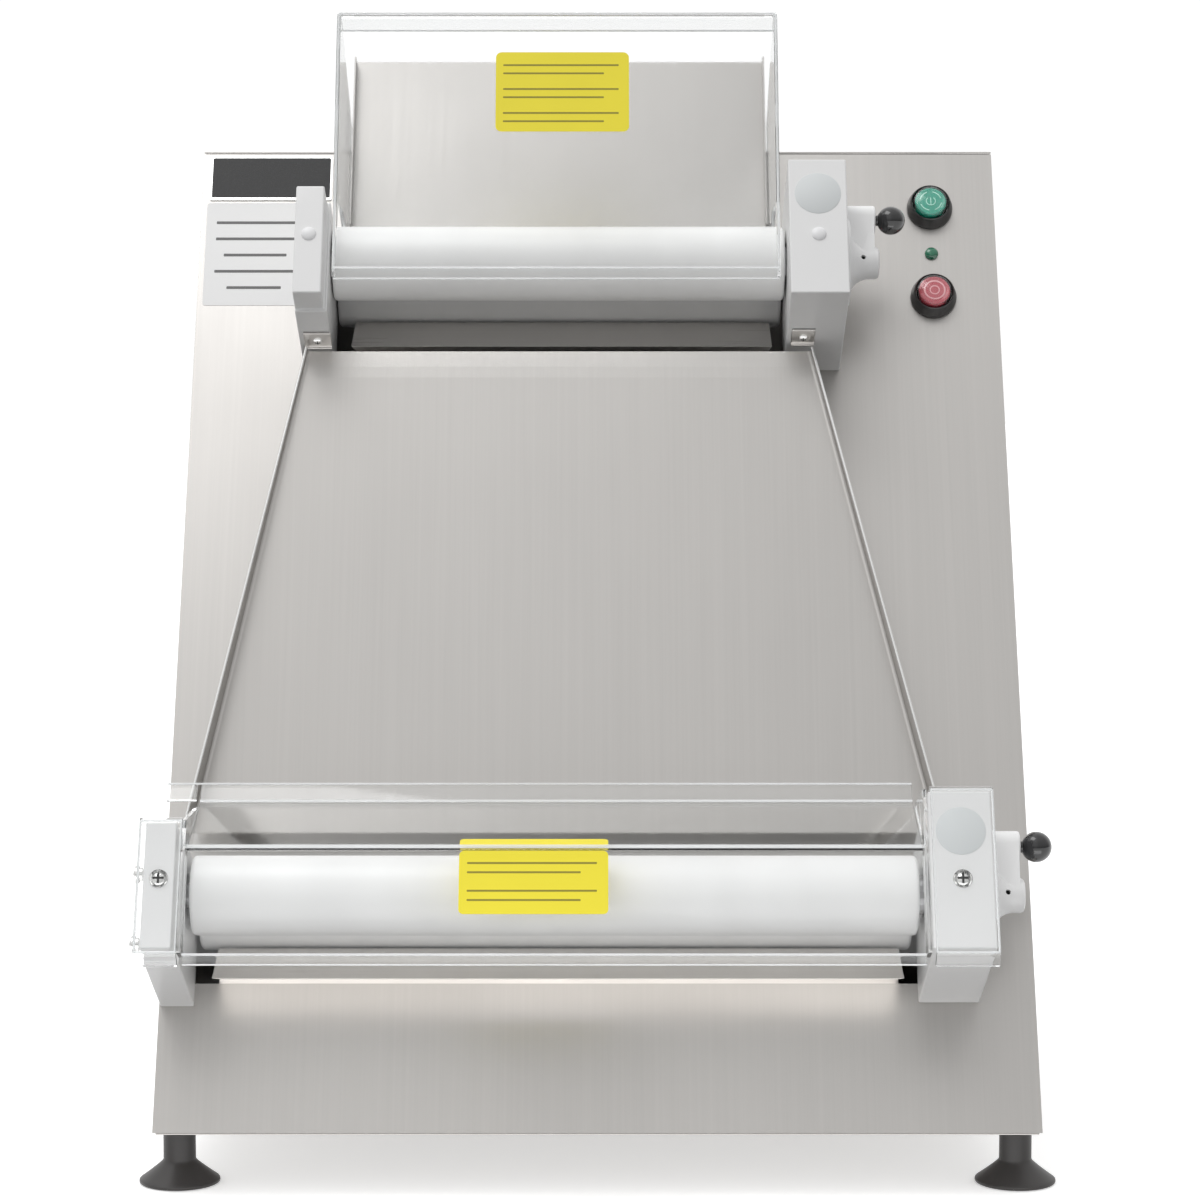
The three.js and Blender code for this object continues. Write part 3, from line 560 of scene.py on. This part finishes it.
def foot(name):
    """A turned rubber foot: rim, hollow cone, groove and collar."""
    low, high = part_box(name)
    top = (high.z - low.z) / MM
    centre = (low + high) / 2
    cone_low, cone_height, cone_steps = 2.4, 11.8, 12
    neck, spread_out = 10.7, 14.6
    profile = [(0, 0), (0, 24.7)] + arc(0.9, 24.85, 0.9, 180, 90, 4)[1:]
    profile += [(1.9, 25.7), (cone_low, neck + spread_out)]
    for step in range(1, cone_steps + 1):
        share = step / cone_steps
        profile.append((cone_low + cone_height * share, neck + spread_out * (1 - share) ** 1.12))
    profile += [(15.2, 10.35), (32.2, 10.3), (32.8, 9.5), (34.6, 9.4), (35.2, 10.1), (35.6, 10.3),
                (top - 0.5, 10.3), (top, 9.9), (top, 0)]
    place = LEVEL @ basis(
        (0, 0, 1), (1, 0, 0), (0, 1, 0), (centre.x / MM, centre.y / MM, low.z / MM))
    make(f"{name}_rubber", turned(profile, 72), place, rubber, stands_for=[name])


body_screws()
for foot_name in ("front_left_foot", "front_right_foot", "rear_left_foot", "rear_right_foot"):
    foot(foot_name)


# ---- Roller heads ----
def nip_place(joint):
    """The place of a turned piece on a joint's axis, with its X along the axis."""
    return Matrix.Translation(Vector(JOINTS[joint]["pos_m"])) @ LEVEL


def rollers(name):
    """Both rollers of a head, with rounded ends and a recess round the shaft."""
    bore, rim, recess, edge = 8.4, 15.5, 1.5, 3
    for which in ("inner", "outer"):
        node = f"{name}_{which}_roller"
        low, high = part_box(node)
        radius = (high.z - low.z) / 2 / MM + 0.1
        x0, x1 = low.x / MM, high.x / MM
        profile = [(x0 + recess, bore), (x0 + recess, rim), (x0, rim + 1)]
        profile += arc(x0 + edge, radius - edge, edge, 180, 90, 6)
        profile += arc(x1 - edge, radius - edge, edge, 90, 0, 6)
        profile += [(x1, rim + 1), (x1 - recess, rim), (x1 - recess, bore), (x0 + recess, bore)]
        make(f"{node}_polymer", turned(profile, 128), nip_place(f"{name}_{which}_spin"), polymer,
             NODES[node]["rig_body"], [node])


def boolean(first, second, operation):
    """Applies a boolean between two scene objects and removes the second."""
    modifier = first.modifiers.new("cut", "BOOLEAN")
    modifier.operation = operation
    modifier.solver = "EXACT"
    modifier.object = second
    graph = bpy.context.evaluated_depsgraph_get()
    mesh = bpy.data.meshes.new_from_object(first.evaluated_get(graph))
    first.modifiers.clear()
    first.data = mesh
    bpy.data.objects.remove(second)


def rough_object(shape, place):
    """An object for booleans, which no body carries yet."""
    piece = bpy.data.objects.new("work", shape_mesh("work", shape, place))
    bpy.context.scene.collection.objects.link(piece)
    return piece


def lever(name):
    """The white gap lever: flange, filleted hub and arm, with its set screw and black ball."""
    node = f"{name}_crank"
    body = NODES[node]["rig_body"]
    axis_x = JOINTS[f"{name}_lever_turn"]["pos_m"][0] / MM
    low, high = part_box(node)
    face = low.x / MM - axis_x
    end = high.x / MM - axis_x
    slope_turn = Matrix.Rotation(SLOPE_TURN, 4, "X")
    tilt = Matrix.Rotation(AXES_TILT, 4, "X")
    local = nip_place(f"{name}_lever_turn") @ slope_turn @ tilt
    arm, boss, hub, flange, fillet = 31.0, 10.0, 11.0, 30.0, 14
    profile = [(face, 0), (face, flange - 1), (face + 1, flange), (face + 2.6, flange),
               (face + 3.6, flange - 1)]
    profile += arc(face + 3.6 + fillet, hub + fillet, fillet, 188, 268, 10)
    profile += [(end - 2.5, hub), (end - 0.8, hub - 0.7), (end, hub - 2.4), (end, 0)]
    whole = rough_object(turned(profile, 96), local)
    stadium = arc(arm, 0, boss, -90, 90, 24) + arc(0, 0, boss, 90, 270, 24)
    boolean(whole, rough_object(extruded(stadium, face + 1.013, end - 3.3), local), "UNION")
    boss_profile = [(face + 1.1, 0), (face + 1.1, boss), (end - 3.4, boss), (end - 2.4, boss - 0.6),
                    (end - 2.1, boss - 1.8), (end - 2.1, 0)]
    boss_place = local @ Matrix.Translation((0, arm, 0))
    boolean(whole, rough_object(turned(boss_profile, 96), boss_place), "UNION")
    hole = turned([(6.5, 0), (6.5, 1.6), (14, 1.6), (14, 0)], 32)
    hole_place = local @ basis((0, 0, 1), (1, 0, 0), (0, 1, 0), (face + 13.0, 0, 0))
    boolean(whole, rough_object(hole, hole_place), "DIFFERENCE")
    mesh = whole.data
    clean(mesh, mesh, 20 * MERGE, flatten=True, outward=False)
    smooth(mesh, 35)
    whole.name = f"{node}_moulding"
    mesh.materials.clear()
    mesh.materials.append(lever_white)
    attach(whole, body)
    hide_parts(node)
    set_screw = turned([(6.6, 0), (6.6, 1.5), (8.4, 1.5), (8.4, 0.7), (7.4, 0.7), (7.4, 0)], 24)
    make(f"{name}_set_screw", set_screw, hole_place, black_and_recess_shade, body)
    ball(name, boss_place, end, body)


def ball(name, place, end, body):
    """A glossy ball on a short stem."""
    node = f"{name}_knob"
    radius = 9.7
    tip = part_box(node)[1].x / MM - JOINTS[f"{name}_lever_turn"]["pos_m"][0] / MM
    profile = [(end - 11, 0), (end - 11, 3), (end - 1.6, 3), (end - 1.2, 3.6)]
    profile += arc(tip - radius, 0, radius, 158, 2, 26)
    profile.append((tip, 0))
    make(f"{node}_ball", turned(profile, 72), place, gloss_black, body, [node])


def plug_dome(name, x, up, out):
    """A low white dome on a housing's front, which reads as a hole plug."""
    crown = [(2.1 * math.sin(math.radians(a)), 5.0 * math.cos(math.radians(a))) for a in range(0, 90, 10)]
    make(name, turned([(0, 0)] + crown + [(2.1, 0)], 48), facing_out(x, up, out), plug_white)


def housings(name, plugs_are_screws):
    """Both housings of a head, with the right one's disc and a plug or a screw on each front."""
    right_low, right_high = extent(f"{name}_right_housing")
    for side in ("left", "right"):
        refine(f"{name}_{side}_housing", enamel, 1.3, 4)
    base = right_low.y
    front = right_high.z
    middle_left = extent(f"{name}_left_housing")[0].x + 9.5
    middle_right = (right_low.x + right_high.x) / 2
    make(f"{name}_disc", turned([(0, 0), (0, 15.5), (0.15, 15.5), (0.3, 15.2), (0.3, 0)], 72),
         facing_out(middle_right, base + 75.6, front), disc_grey)
    fixing_up = base + 44.5
    for side, x in (("left", middle_left), ("right", middle_right)):
        if plugs_are_screws:
            screw(f"{name}_{side}_front_screw", facing_out(x, fixing_up, front), 6.0, 2.6)
        else:
            plug_dome(f"{name}_{side}_front_plug", x, fixing_up, front)


MACHINED_PARTS = ("left_frame", "right_frame", "inner_shaft", "inner_gear", "outer_gear", "sprocket",
                  "axle", "left_block", "right_block", "crank_shaft")
# The lower scraper's brighter steel is a painted reflection of the white roller and floor.
for head_name, scraper_steel in (("upper", cross_steel), ("lower", painted_reflection_steel)):
    rollers(head_name)
    housings(head_name, head_name == "lower")
    lever(head_name)
    refine_sheet(f"{head_name}_scraper", scraper_steel, 0.3)
    for part in MACHINED_PARTS:
        finish_node(f"{head_name}_{part}", machined)
    finish_node(f"{head_name}_chain", blackened)


# ---- Tray and chute ----
TRAY_THICKNESS = 1.2
OUTWARD = Vector((0, 0, 1))


def tray_row(up, out):
    """The tray's section at a height up the slope, from the left rim's edge to the right one's."""
    half = TRAY_THICKNESS / 2
    share = (up - TRAY_FOOT["up"]) / (TRAY_TOP["up"] - TRAY_FOOT["up"])
    left = TRAY_FOOT["left"] + share * (TRAY_TOP["left"] - TRAY_FOOT["left"]) + half
    right = TRAY_FOOT["right"] + share * (TRAY_TOP["right"] - TRAY_FOOT["right"]) - half
    edge_low = TRAY_FOOT["out"] + TRAY_FOOT["wall"]
    edge = edge_low + share * (TRAY_TOP["out"] + TRAY_TOP["wall"] - edge_low)
    fold = ((0, 3), (0.4, 1.4), (1.4, 0.4), (3, 0))
    line = [(left, edge)] + [(left + inward, out + rise) for inward, rise in fold]
    line += [(right - inward, out + rise) for inward, rise in reversed(fold)] + [(right, edge)]
    return [(x, up, z) for x, z in line]


def tray():
    """The sloping tray: a floor, splayed rims on soft folds, and hemmed edges, whose brighter metal is partly
    a painted highlight.
    """
    rows = [tray_row(TRAY_FOOT["up"] + 0.5, TRAY_FOOT["out"] + 0.6),
            tray_row(TRAY_BEND["up"] - 4, TRAY_BEND["out"] + 0.25),
            tray_row(TRAY_BEND["up"] + 4, TRAY_BEND["out"] + 0.65),
            tray_row(TRAY_TOP["up"] - 0.5, TRAY_TOP["out"] + 0.6)]
    points = [point for row in rows for point in row]
    width = len(rows[0])
    faces = []
    for row in range(len(rows) - 1):
        for column in range(width - 1):
            first = row * width + column
            faces.append([first, first + 1, first + width + 1, first + width])
    piece = make("tray_sheet", (points, faces), SLOPE, tray_steel,
                 stands_for=["transfer_tray"], sharp=12)
    piece.data.shade_flat()
    thicken = piece.modifiers.new("sheet", "SOLIDIFY")
    thicken.thickness = TRAY_THICKNESS * MM
    thicken.offset = 0
    for side, column in (("left", 0), ("right", width - 1)):
        start, end = Vector(rows[0][column]), Vector(rows[-1][column])
        along = (end - start).normalized()
        length = (end - start).length
        aside = along.cross(OUTWARD).normalized()
        place = SLOPE @ basis(along, aside, along.cross(aside).normalized(), start)
        # The hems are real rounded beads, but made of bright zinc rather than the tray's steel: partly a
        # painted highlight along the rims.
        hem = [(0, 0), (0, 0.75), (0.3, 0.95), (length - 0.3, 0.95), (length, 0.75), (length, 0)]
        make(f"tray_{side}_hem", turned(hem, 16), place, zinc)


def bracket(name):
    """A tray bracket with the screw that holds it."""
    refine_sheet(name, cross_steel, 0.4)
    low, high = extent(name)
    screw(f"{name}_screw", facing_down((low.x + high.x) / 2, high.y - 1.5, high.z - 9.5), 3.1, 1.9)


tray()
# The chute's darker steel is painted shade.
refine_sheet("infeed_chute", chute_steel_painted_shade, 0.35)
for side_name in ("left", "right"):
    bracket(f"{side_name}_tray_bracket")


# ---- Guards ----
FOLD = 4.0
CLEAR = 2.5


def highlight_strip(name, start, end, wide, tall):
    """A thin bright strip between two places in the sloping frame: a painted highlight that stands for light
    gathered at a sheet's edge.

    A strip across X is wide up the slope and tall outward. The others are square in section.
    """
    run = Vector(end) - Vector(start)
    along = run.normalized()
    across = abs(along.x) > 0.9
    aside = (along.cross(OUTWARD) if across else along.orthogonal()).normalized()
    place = SLOPE @ basis(along, aside, along.cross(aside), start)
    outline = rounded_rectangle(wide, tall, 0.3, 3)
    strip = make(name, extruded(outline, 0, run.length), place, lit_edge)
    strip.visible_diffuse = False
    strip.visible_shadow = False


def highlight_strips(name, stations, x0, x1):
    """Painted highlight strips across X at (up, out, width, depth) stations."""
    for index, (up, out, wide, tall) in enumerate(stations):
        highlight_strip(f"{name}_edge_{index}", (x0, up, out), (x1, up, out), wide, tall)


def guard_sheets(name, shape):
    piece = make(f"{name}_sheets", shape, SLOPE, clear_sheet,
                 stands_for=[name], bevel=0.35, segments=2)
    piece.visible_diffuse = False


def upper_guard():
    """The hopper front between two side walls, each held by two screws."""
    low, high = extent("upper_guard")
    front = [(744.5, 110.5), (744, 132), (560, 106), (553.5, 102.5)]
    line = filleted(front, FOLD)
    sheet = extruded(sheet_outline(line, CLEAR), low.x + CLEAR + 0.05, high.x - CLEAR - 0.05)
    wall = front[::-1] + [(728, 5), (630.5, 5), (630.5, 60), (614.5, 98)]
    wall = filleted(wall, 3.0, closed=True)
    walls = [extruded(wall, x, x + CLEAR) for x in (low.x, high.x - CLEAR)]
    guard_sheets("upper_guard", together(sheet, *walls))
    # Painted highlight strips along the guard's folds and along the side walls' edges.
    folds = ((744.0, 111, 1.2, 1.2), (743.6, 131.3, 1.2, 1.2), (560.4, 106.3, 1.6, 0.8),
             (554.0, 102.9, 1.2, 1.0))
    highlight_strips("upper_guard", folds, low.x + 1, high.x - 1)
    corners = ((558, 105.4), (742.5, 131.4), (743.6, 111.5), (727.6, 6), (631.5, 5.7))
    for side, x in (("left", low.x + 1.2), ("right", high.x - 1.2)):
        for index, (start, end) in enumerate(zip(corners, corners[1:])):
            highlight_strip(f"upper_guard_{side}_edge_{index}", (x, *start), (x, *end), 1.3, 1.3)
    for (side, side_word), x in zip(SIDES, (low.x, high.x)):
        for index, up in enumerate((705, 640)):
            screw(f"upper_guard_fixing_{side_word}_{index}", facing_side(x, up, 14, side), 3.2, 1.6, machined)


def lower_guard():
    """The bent sheet over the rollers, an end box over each housing, and two nuts at the left."""
    low, high = extent("lower_guard")
    left_housing = extent("lower_left_housing")[1]
    right_housing = extent("lower_right_housing")
    base, right = right_housing[0].y, right_housing[0].x
    left = left_housing.x - 2.5
    left_top, right_top = left_housing.y, right_housing[1].y
    left_inner, right_inner = left + 3.5, right - 1 - CLEAR
    cover = 112.6
    top_edge = (base + 131.5, 48)
    line = filleted([top_edge, (base + 118, 50), (base + 67, 105), (base - 2, 105), (base - 7, 100)], FOLD)
    middle = extruded(sheet_outline(line, CLEAR), left_inner + CLEAR, right_inner)
    lip = extruded(sheet_outline([top_edge, (base + 119.5, 49.8)], CLEAR), left - 15.5, left_inner - 0.05)

    def end_box(x0, x1, top):
        outline = [(top + 1.2, 96), (top + 1.2, cover), (base - 3, cover), (base - 7, cover - 9)]
        return extruded(sheet_outline(filleted(outline, 3.0), -CLEAR), x0, x1)

    def cheek(x, top):
        outline = [(base - 1, 96), (base - 3, cover + 1), (top + 1.2, cover + 1), (base + 112, 57),
                   (base + 112, 50), (top + 1, 90), (base + 66, 100)]
        return extruded(filleted(outline, 2.0, closed=True), x, x + CLEAR)

    ends = {"left": (low.x, left_inner - 0.05, left_top), "right": (right + 1.55, high.x, right_top)}
    guard_sheets("lower_guard", together(
        middle, lip, end_box(*ends["left"]), end_box(*ends["right"]),
        cheek(left_inner, left_top), cheek(right_inner + 0.05, right_top)))
    # Painted highlight strips along the guard's folds, lip, end-box rims and slants.
    folds = ((base + 131, 48.3, 1.2, 1.2), (base + 118.4, 51.0, 1.6, 1.0), (base + 68.6, 103.6, 2.6, 1.2),
             (base - 1.5, 104.6, 1.4, 1.2), (base - 6.6, 100.3, 1.0, 1.0))
    highlight_strips("lower_guard", folds, left + 6, right - 3.6)
    lip_up, lip_out = base + 131, 48.3
    highlight_strip("lower_guard_lip_edge", (left - 15.4, lip_up, lip_out), (left + 6, lip_up, lip_out), 1.2, 1.2)
    front = cover - 0.5
    for side, (x0, x1, top) in ends.items():
        rim_left, rim_right, rim_low, rim_high = x0 + 0.6, x1 - 0.6, base - 2.4, top + 0.6
        corners = ((rim_left, rim_low), (rim_left, rim_high), (rim_right, rim_high), (rim_right, rim_low))
        for index, (start, end) in enumerate(zip(corners, corners[1:] + corners[:1])):
            highlight_strip(f"lower_guard_{side}_rim_{index}", (*start, front), (*end, front), 1.1, 1.1)
    for side, x in (("left", left + 4.9), ("right", right - 2.2)):
        highlight_strip(f"lower_guard_{side}_slant", (x, base + 112, 55.5), (x, base + 68, 103.5), 1.2, 1.2)
    nut = turned([(-1.5, 0), (-1.5, 4.2), (0.3, 4.2), (0.6, 5.2), (1.0, 5.6), (3.0, 5.6), (3.6, 5.0),
                  (3.6, 2.4), (4.4, 2.0), (4.6, 0)], 32)
    for index, up in enumerate((base + 51.5, base + 6.2)):
        make(f"lower_guard_nut_{index}", nut, facing_side(low.x + 0.5, up, 100, -1), zinc)


upper_guard()
lower_guard()


# ---- Controls ----
def control(name, cap_material, mark_material, marks):
    """A push button: black bezel, glossy cap with raised marks, and a clear boot over it."""
    low, high = extent(f"{name}_bezel")
    x, up = (low.x + high.x) / 2, (low.y + high.y) / 2
    place = facing_out(x, up, 0)
    ring = [(0.3, 12.9), (0.3, 15.6), (0.7, 16), (2.6, 16), (3.6, 15.7), (8.8, 14.2), (9.6, 13.9),
            (10, 13.4), (9.6, 13.0), (0.3, 12.9)]
    make(f"{name}_bezel_ring", turned(ring, 96), place, satin_black,
         stands_for=[f"{name}_bezel"])
    body = NODES[f"{name}_button"]["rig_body"]
    cap = [(-9, 0), (-9, 6), (4.5, 6), (4.5, 11.0), (10.2, 11.0), (11.3, 10.4), (11.7, 9.8),
           (11.5, 8.8), (11.3, 8.2), (11.4, 0)]
    make(f"{name}_cap", turned(cap, 96), place, cap_material, body, [f"{name}_button"])
    make(f"{name}_marks", marks, facing_out(x, up, 11.25), mark_material, body)
    boot = [(4.6, 11.3), (4.6, 12.2), (10.6, 12.2), (11.9, 11.6), (12.6, 10.3), (12.75, 0)]
    inner = [(12.2, 0), (12.1, 10.1), (11.5, 11.1), (10.5, 11.5), (4.6, 11.3)]
    make(f"{name}_boot", turned(boot + inner, 96), place, clear_boot, body)


MARK_DEPTH = 0.35


def arc_bar(radius, width, start, end):
    outer = arc(0, 0, radius + width / 2, start, end, 24)
    inner = arc(0, 0, radius - width / 2, end, start, 24)
    return extruded(outer + inner, 0, MARK_DEPTH)


start_marks = together(
    *[arc_bar(7.4, 0.7, start, start + 60) for start in (20, 110, 200, 290)],
    arc_bar(3.2, 0.6, 125, 415), plate(0.6, 5.6, MARK_DEPTH, 0.2))
stop_marks = together(arc_bar(7.0, 1.0, 0, 359.5), arc_bar(3.2, 0.7, 0, 359.5))
control("start", green_cap, green_mark, start_marks)
control("stop", red_cap, red_mark, stop_marks)


def pilot():
    low, high = extent("pilot_light")
    profile = [(-8, 0), (-8, 3.3), (0.3, 3.3), (0.3, 4.7), (1.2, 4.7), (1.8, 4.3), (2.8, 3.6), (3.4, 2.4),
               (3.6, 0)]
    place = facing_out((low.x + high.x) / 2, (low.y + high.y) / 2, 0)
    make("pilot_lens", turned(profile, 48), place, pilot_green,
         stands_for=["pilot_light"])


pilot()


# ---- Plates and films: blank, or with plain rules that stand for nothing ----
def film(name, place, width, height, material, thickness, radius):
    make(name, plate(width, height, thickness, radius), place, material)


def film_rules(name, place, groups, top, spacing, length):
    """Pairs of plain rules on a film, the lower one of each pair shorter."""
    for index in range(groups):
        for row in range(2):
            rule = Matrix.Translation((0.12, -1 - 5 * row, top - spacing * index - 6 * row))
            film(f"{name}_rule_{index}_{row}", place @ rule, length - 10 * row, 1.3, film_ink, 0.04, 0.4)


def name_plate():
    """A dark plate in a bright frame, with nothing on it."""
    left, right, low, high = -274.0, -188.0, 674.0, 709.5
    x, up, width, height = (left + right) / 2, (low + high) / 2, right - left, high - low
    film("name_plate_edge", facing_out(x, up, 0), width, height, zinc, 1.0, 1.5)
    film("name_plate_face", facing_out(x, up + 0.4, 1.0), width - 2.6, height - 3.6, plate_dark, 0.25, 1.0)


def notice_plate():
    """A white label with nothing on it but plain grey rules."""
    left, right, low, high = -275.5, -205.0, 590.0, 672.0
    x, up = (left + right) / 2, (low + high) / 2
    film("notice_film", facing_out(x, up, 0), right - left, high - low, white_film, 0.25, 2.0)
    for index, width in enumerate((56, 56, 44, 56, 38)):
        place = facing_out(x, high - 16 - 13 * index, 0.25)
        film(f"notice_rule_{index}", place, width, 2.2, grey_ink, 0.05, 0.5)


def tilted_out(x, up, out, tilt, origin=(0, 0, 0)):
    """A place like facing_out, on a sheet that leans from the slope by a tilt."""
    turn = Matrix.Rotation(tilt, 4, "X")
    return SLOPE @ Matrix.Translation((x, up, out)) @ turn @ basis(
        (0, 0, 1), (1, 0, 0), (0, 1, 0), origin)


def upper_film():
    """The yellow film on the upper guard's front, whose two folds set its tilt."""
    fold_low, fold_high = Vector((560, 106)), Vector((744, 132))
    rise = fold_high - fold_low
    up = 686.0
    out = fold_low.y + (up - fold_low.x) * rise.y / rise.x
    place = tilted_out(-23.8, up, out + 0.1, math.atan2(rise.y, rise.x))
    film("upper_guard_film", place, 90, 58, yellow_film, 0.12, 4.0)
    film_rules("upper_film", place, 3, 19.5, 17.5, 78)


def lower_film():
    """The yellow film on the lower guard, bent over its upper fold."""
    x, width, low = -39.3, 92, 109.1
    fold = extent("lower_right_housing")[0].y + 67
    high = fold - 1.6
    face = facing_out(x, (high + low) / 2, 105.1)
    film("lower_guard_film", face, width, high - low, yellow_film, 0.12, 3.0)
    place = tilted_out(x, fold, 105, math.atan2(-50, 45), (0, 8.5, 0.15))
    film("lower_guard_film_top", place, width, 12.4, yellow_film, 0.12, 3.0)
    film_rules("lower_film", face, 2, 12.5, 18, 80)


upper_film()
name_plate()
notice_plate()
lower_film()

# ---- Drive and inlet ----
finish_node("drive_motor", motor_paint)
finish_node("drive_shaft", machined)
refine("power_inlet", satin_black, 0.4, 2)


# ---- Stage, light and camera ----
def stage():
    """A white floor under the feet: glossy surfaces reflect it, and matt ones take no light from it."""
    size = 12.0
    corners = [(-size, -size, 0), (size, -size, 0), (size, size, 0), (-size, size, 0)]
    floor_mesh = bpy.data.meshes.new("floor")
    floor_mesh.from_pydata(corners, [], [(0, 1, 2, 3)])
    floor_paint = new_material("floor_white", (0.9, 0.9, 0.9), Roughness=0.9, Emission_Strength=0.4)
    floor = new_object("floor", floor_mesh, floor_paint)
    floor.location.z = -0.0005
    floor.visible_diffuse = False


def world():
    """Soft white surroundings, brighter behind, above and to the left, dimmer low in front."""
    scene_world = bpy.data.worlds.new("studio")
    bpy.context.scene.world = scene_world
    scene_world.use_nodes = True
    nodes, links = scene_world.node_tree.nodes, scene_world.node_tree.links
    place = nodes.new("ShaderNodeTexCoord")
    split = nodes.new("ShaderNodeSeparateXYZ")
    links.new(place.outputs["Generated"], split.inputs[0])

    def ramp(socket, start, end, low, high):
        node = nodes.new("ShaderNodeMapRange")
        node.interpolation_type = "SMOOTHSTEP"
        for key, number in {"From Min": start, "From Max": end, "To Min": low, "To Max": high}.items():
            node.inputs[key].default_value = number
        links.new(socket, node.inputs["Value"])
        return node.outputs["Result"]

    def combine(first, second, operation):
        node = nodes.new("ShaderNodeMath")
        node.operation = operation
        links.new(first, node.inputs[0])
        links.new(second, node.inputs[1])
        return node.outputs[0]

    sideways = ramp(split.outputs["X"], -0.25, 0.25, 1.18, 0.86)
    lowness = ramp(split.outputs["Z"], -0.35, 0.5, 0.10, 1.0)
    height = ramp(split.outputs["Z"], 0.55, 0.95, 0.84, 1.1)
    front = combine(combine(sideways, lowness, "MULTIPLY"), height, "MULTIPLY")
    behind = ramp(split.outputs["Y"], 0.0, 0.5, 0.0, 1.0)
    lift = nodes.new("ShaderNodeMix")
    lift.data_type = "FLOAT"
    links.new(behind, lift.inputs["Factor"])
    links.new(front, lift.inputs["A"])
    lift.inputs["B"].default_value = 1.05
    background = nodes["Background"]
    background.inputs["Color"].default_value = (1, 1, 1, 1)
    links.new(lift.outputs["Result"], background.inputs["Strength"])


def softbox(name, place, target, width, height, power):
    """A rectangular lamp aimed at a target, which the camera doesn't see."""
    light = bpy.data.lights.new(name, "AREA")
    light.shape = "RECTANGLE"
    light.size = width
    light.size_y = height
    light.energy = power
    lamp = bpy.data.objects.new(name, light)
    lamp.location = place
    lamp.rotation_euler = (Vector(target) - Vector(place)).to_track_quat("-Z", "Y").to_euler()
    lamp.visible_camera = False
    bpy.context.scene.collection.objects.link(lamp)


def camera():
    """The viewpoint, placed from the foot of the front panel."""
    distance, height, dip = 2.126, 0.5295, 5.2
    lens = bpy.data.cameras.new("camera")
    lens.lens = 103.5
    lens.sensor_width = 36.0
    lens.clip_end = 50.0
    eye = bpy.data.objects.new("camera", lens)
    eye.location = (0.0016, PANEL_LOW.y - distance, PANEL_LOW.z + height)
    eye.rotation_euler = (math.radians(90 - dip), 0, 0)
    bpy.context.scene.collection.objects.link(eye)
    bpy.context.scene.camera = eye


stage()
world()
softbox("key", (-0.7, -0.5, 2.6), (0, 0, 0.4), 1.4, 1.0, 12)
softbox("card", (0, -0.42, 0.02), (0, -0.17, 0.19), 0.9, 0.22, 0.9)
camera()
bpy.context.scene.view_settings.view_transform = "Standard"
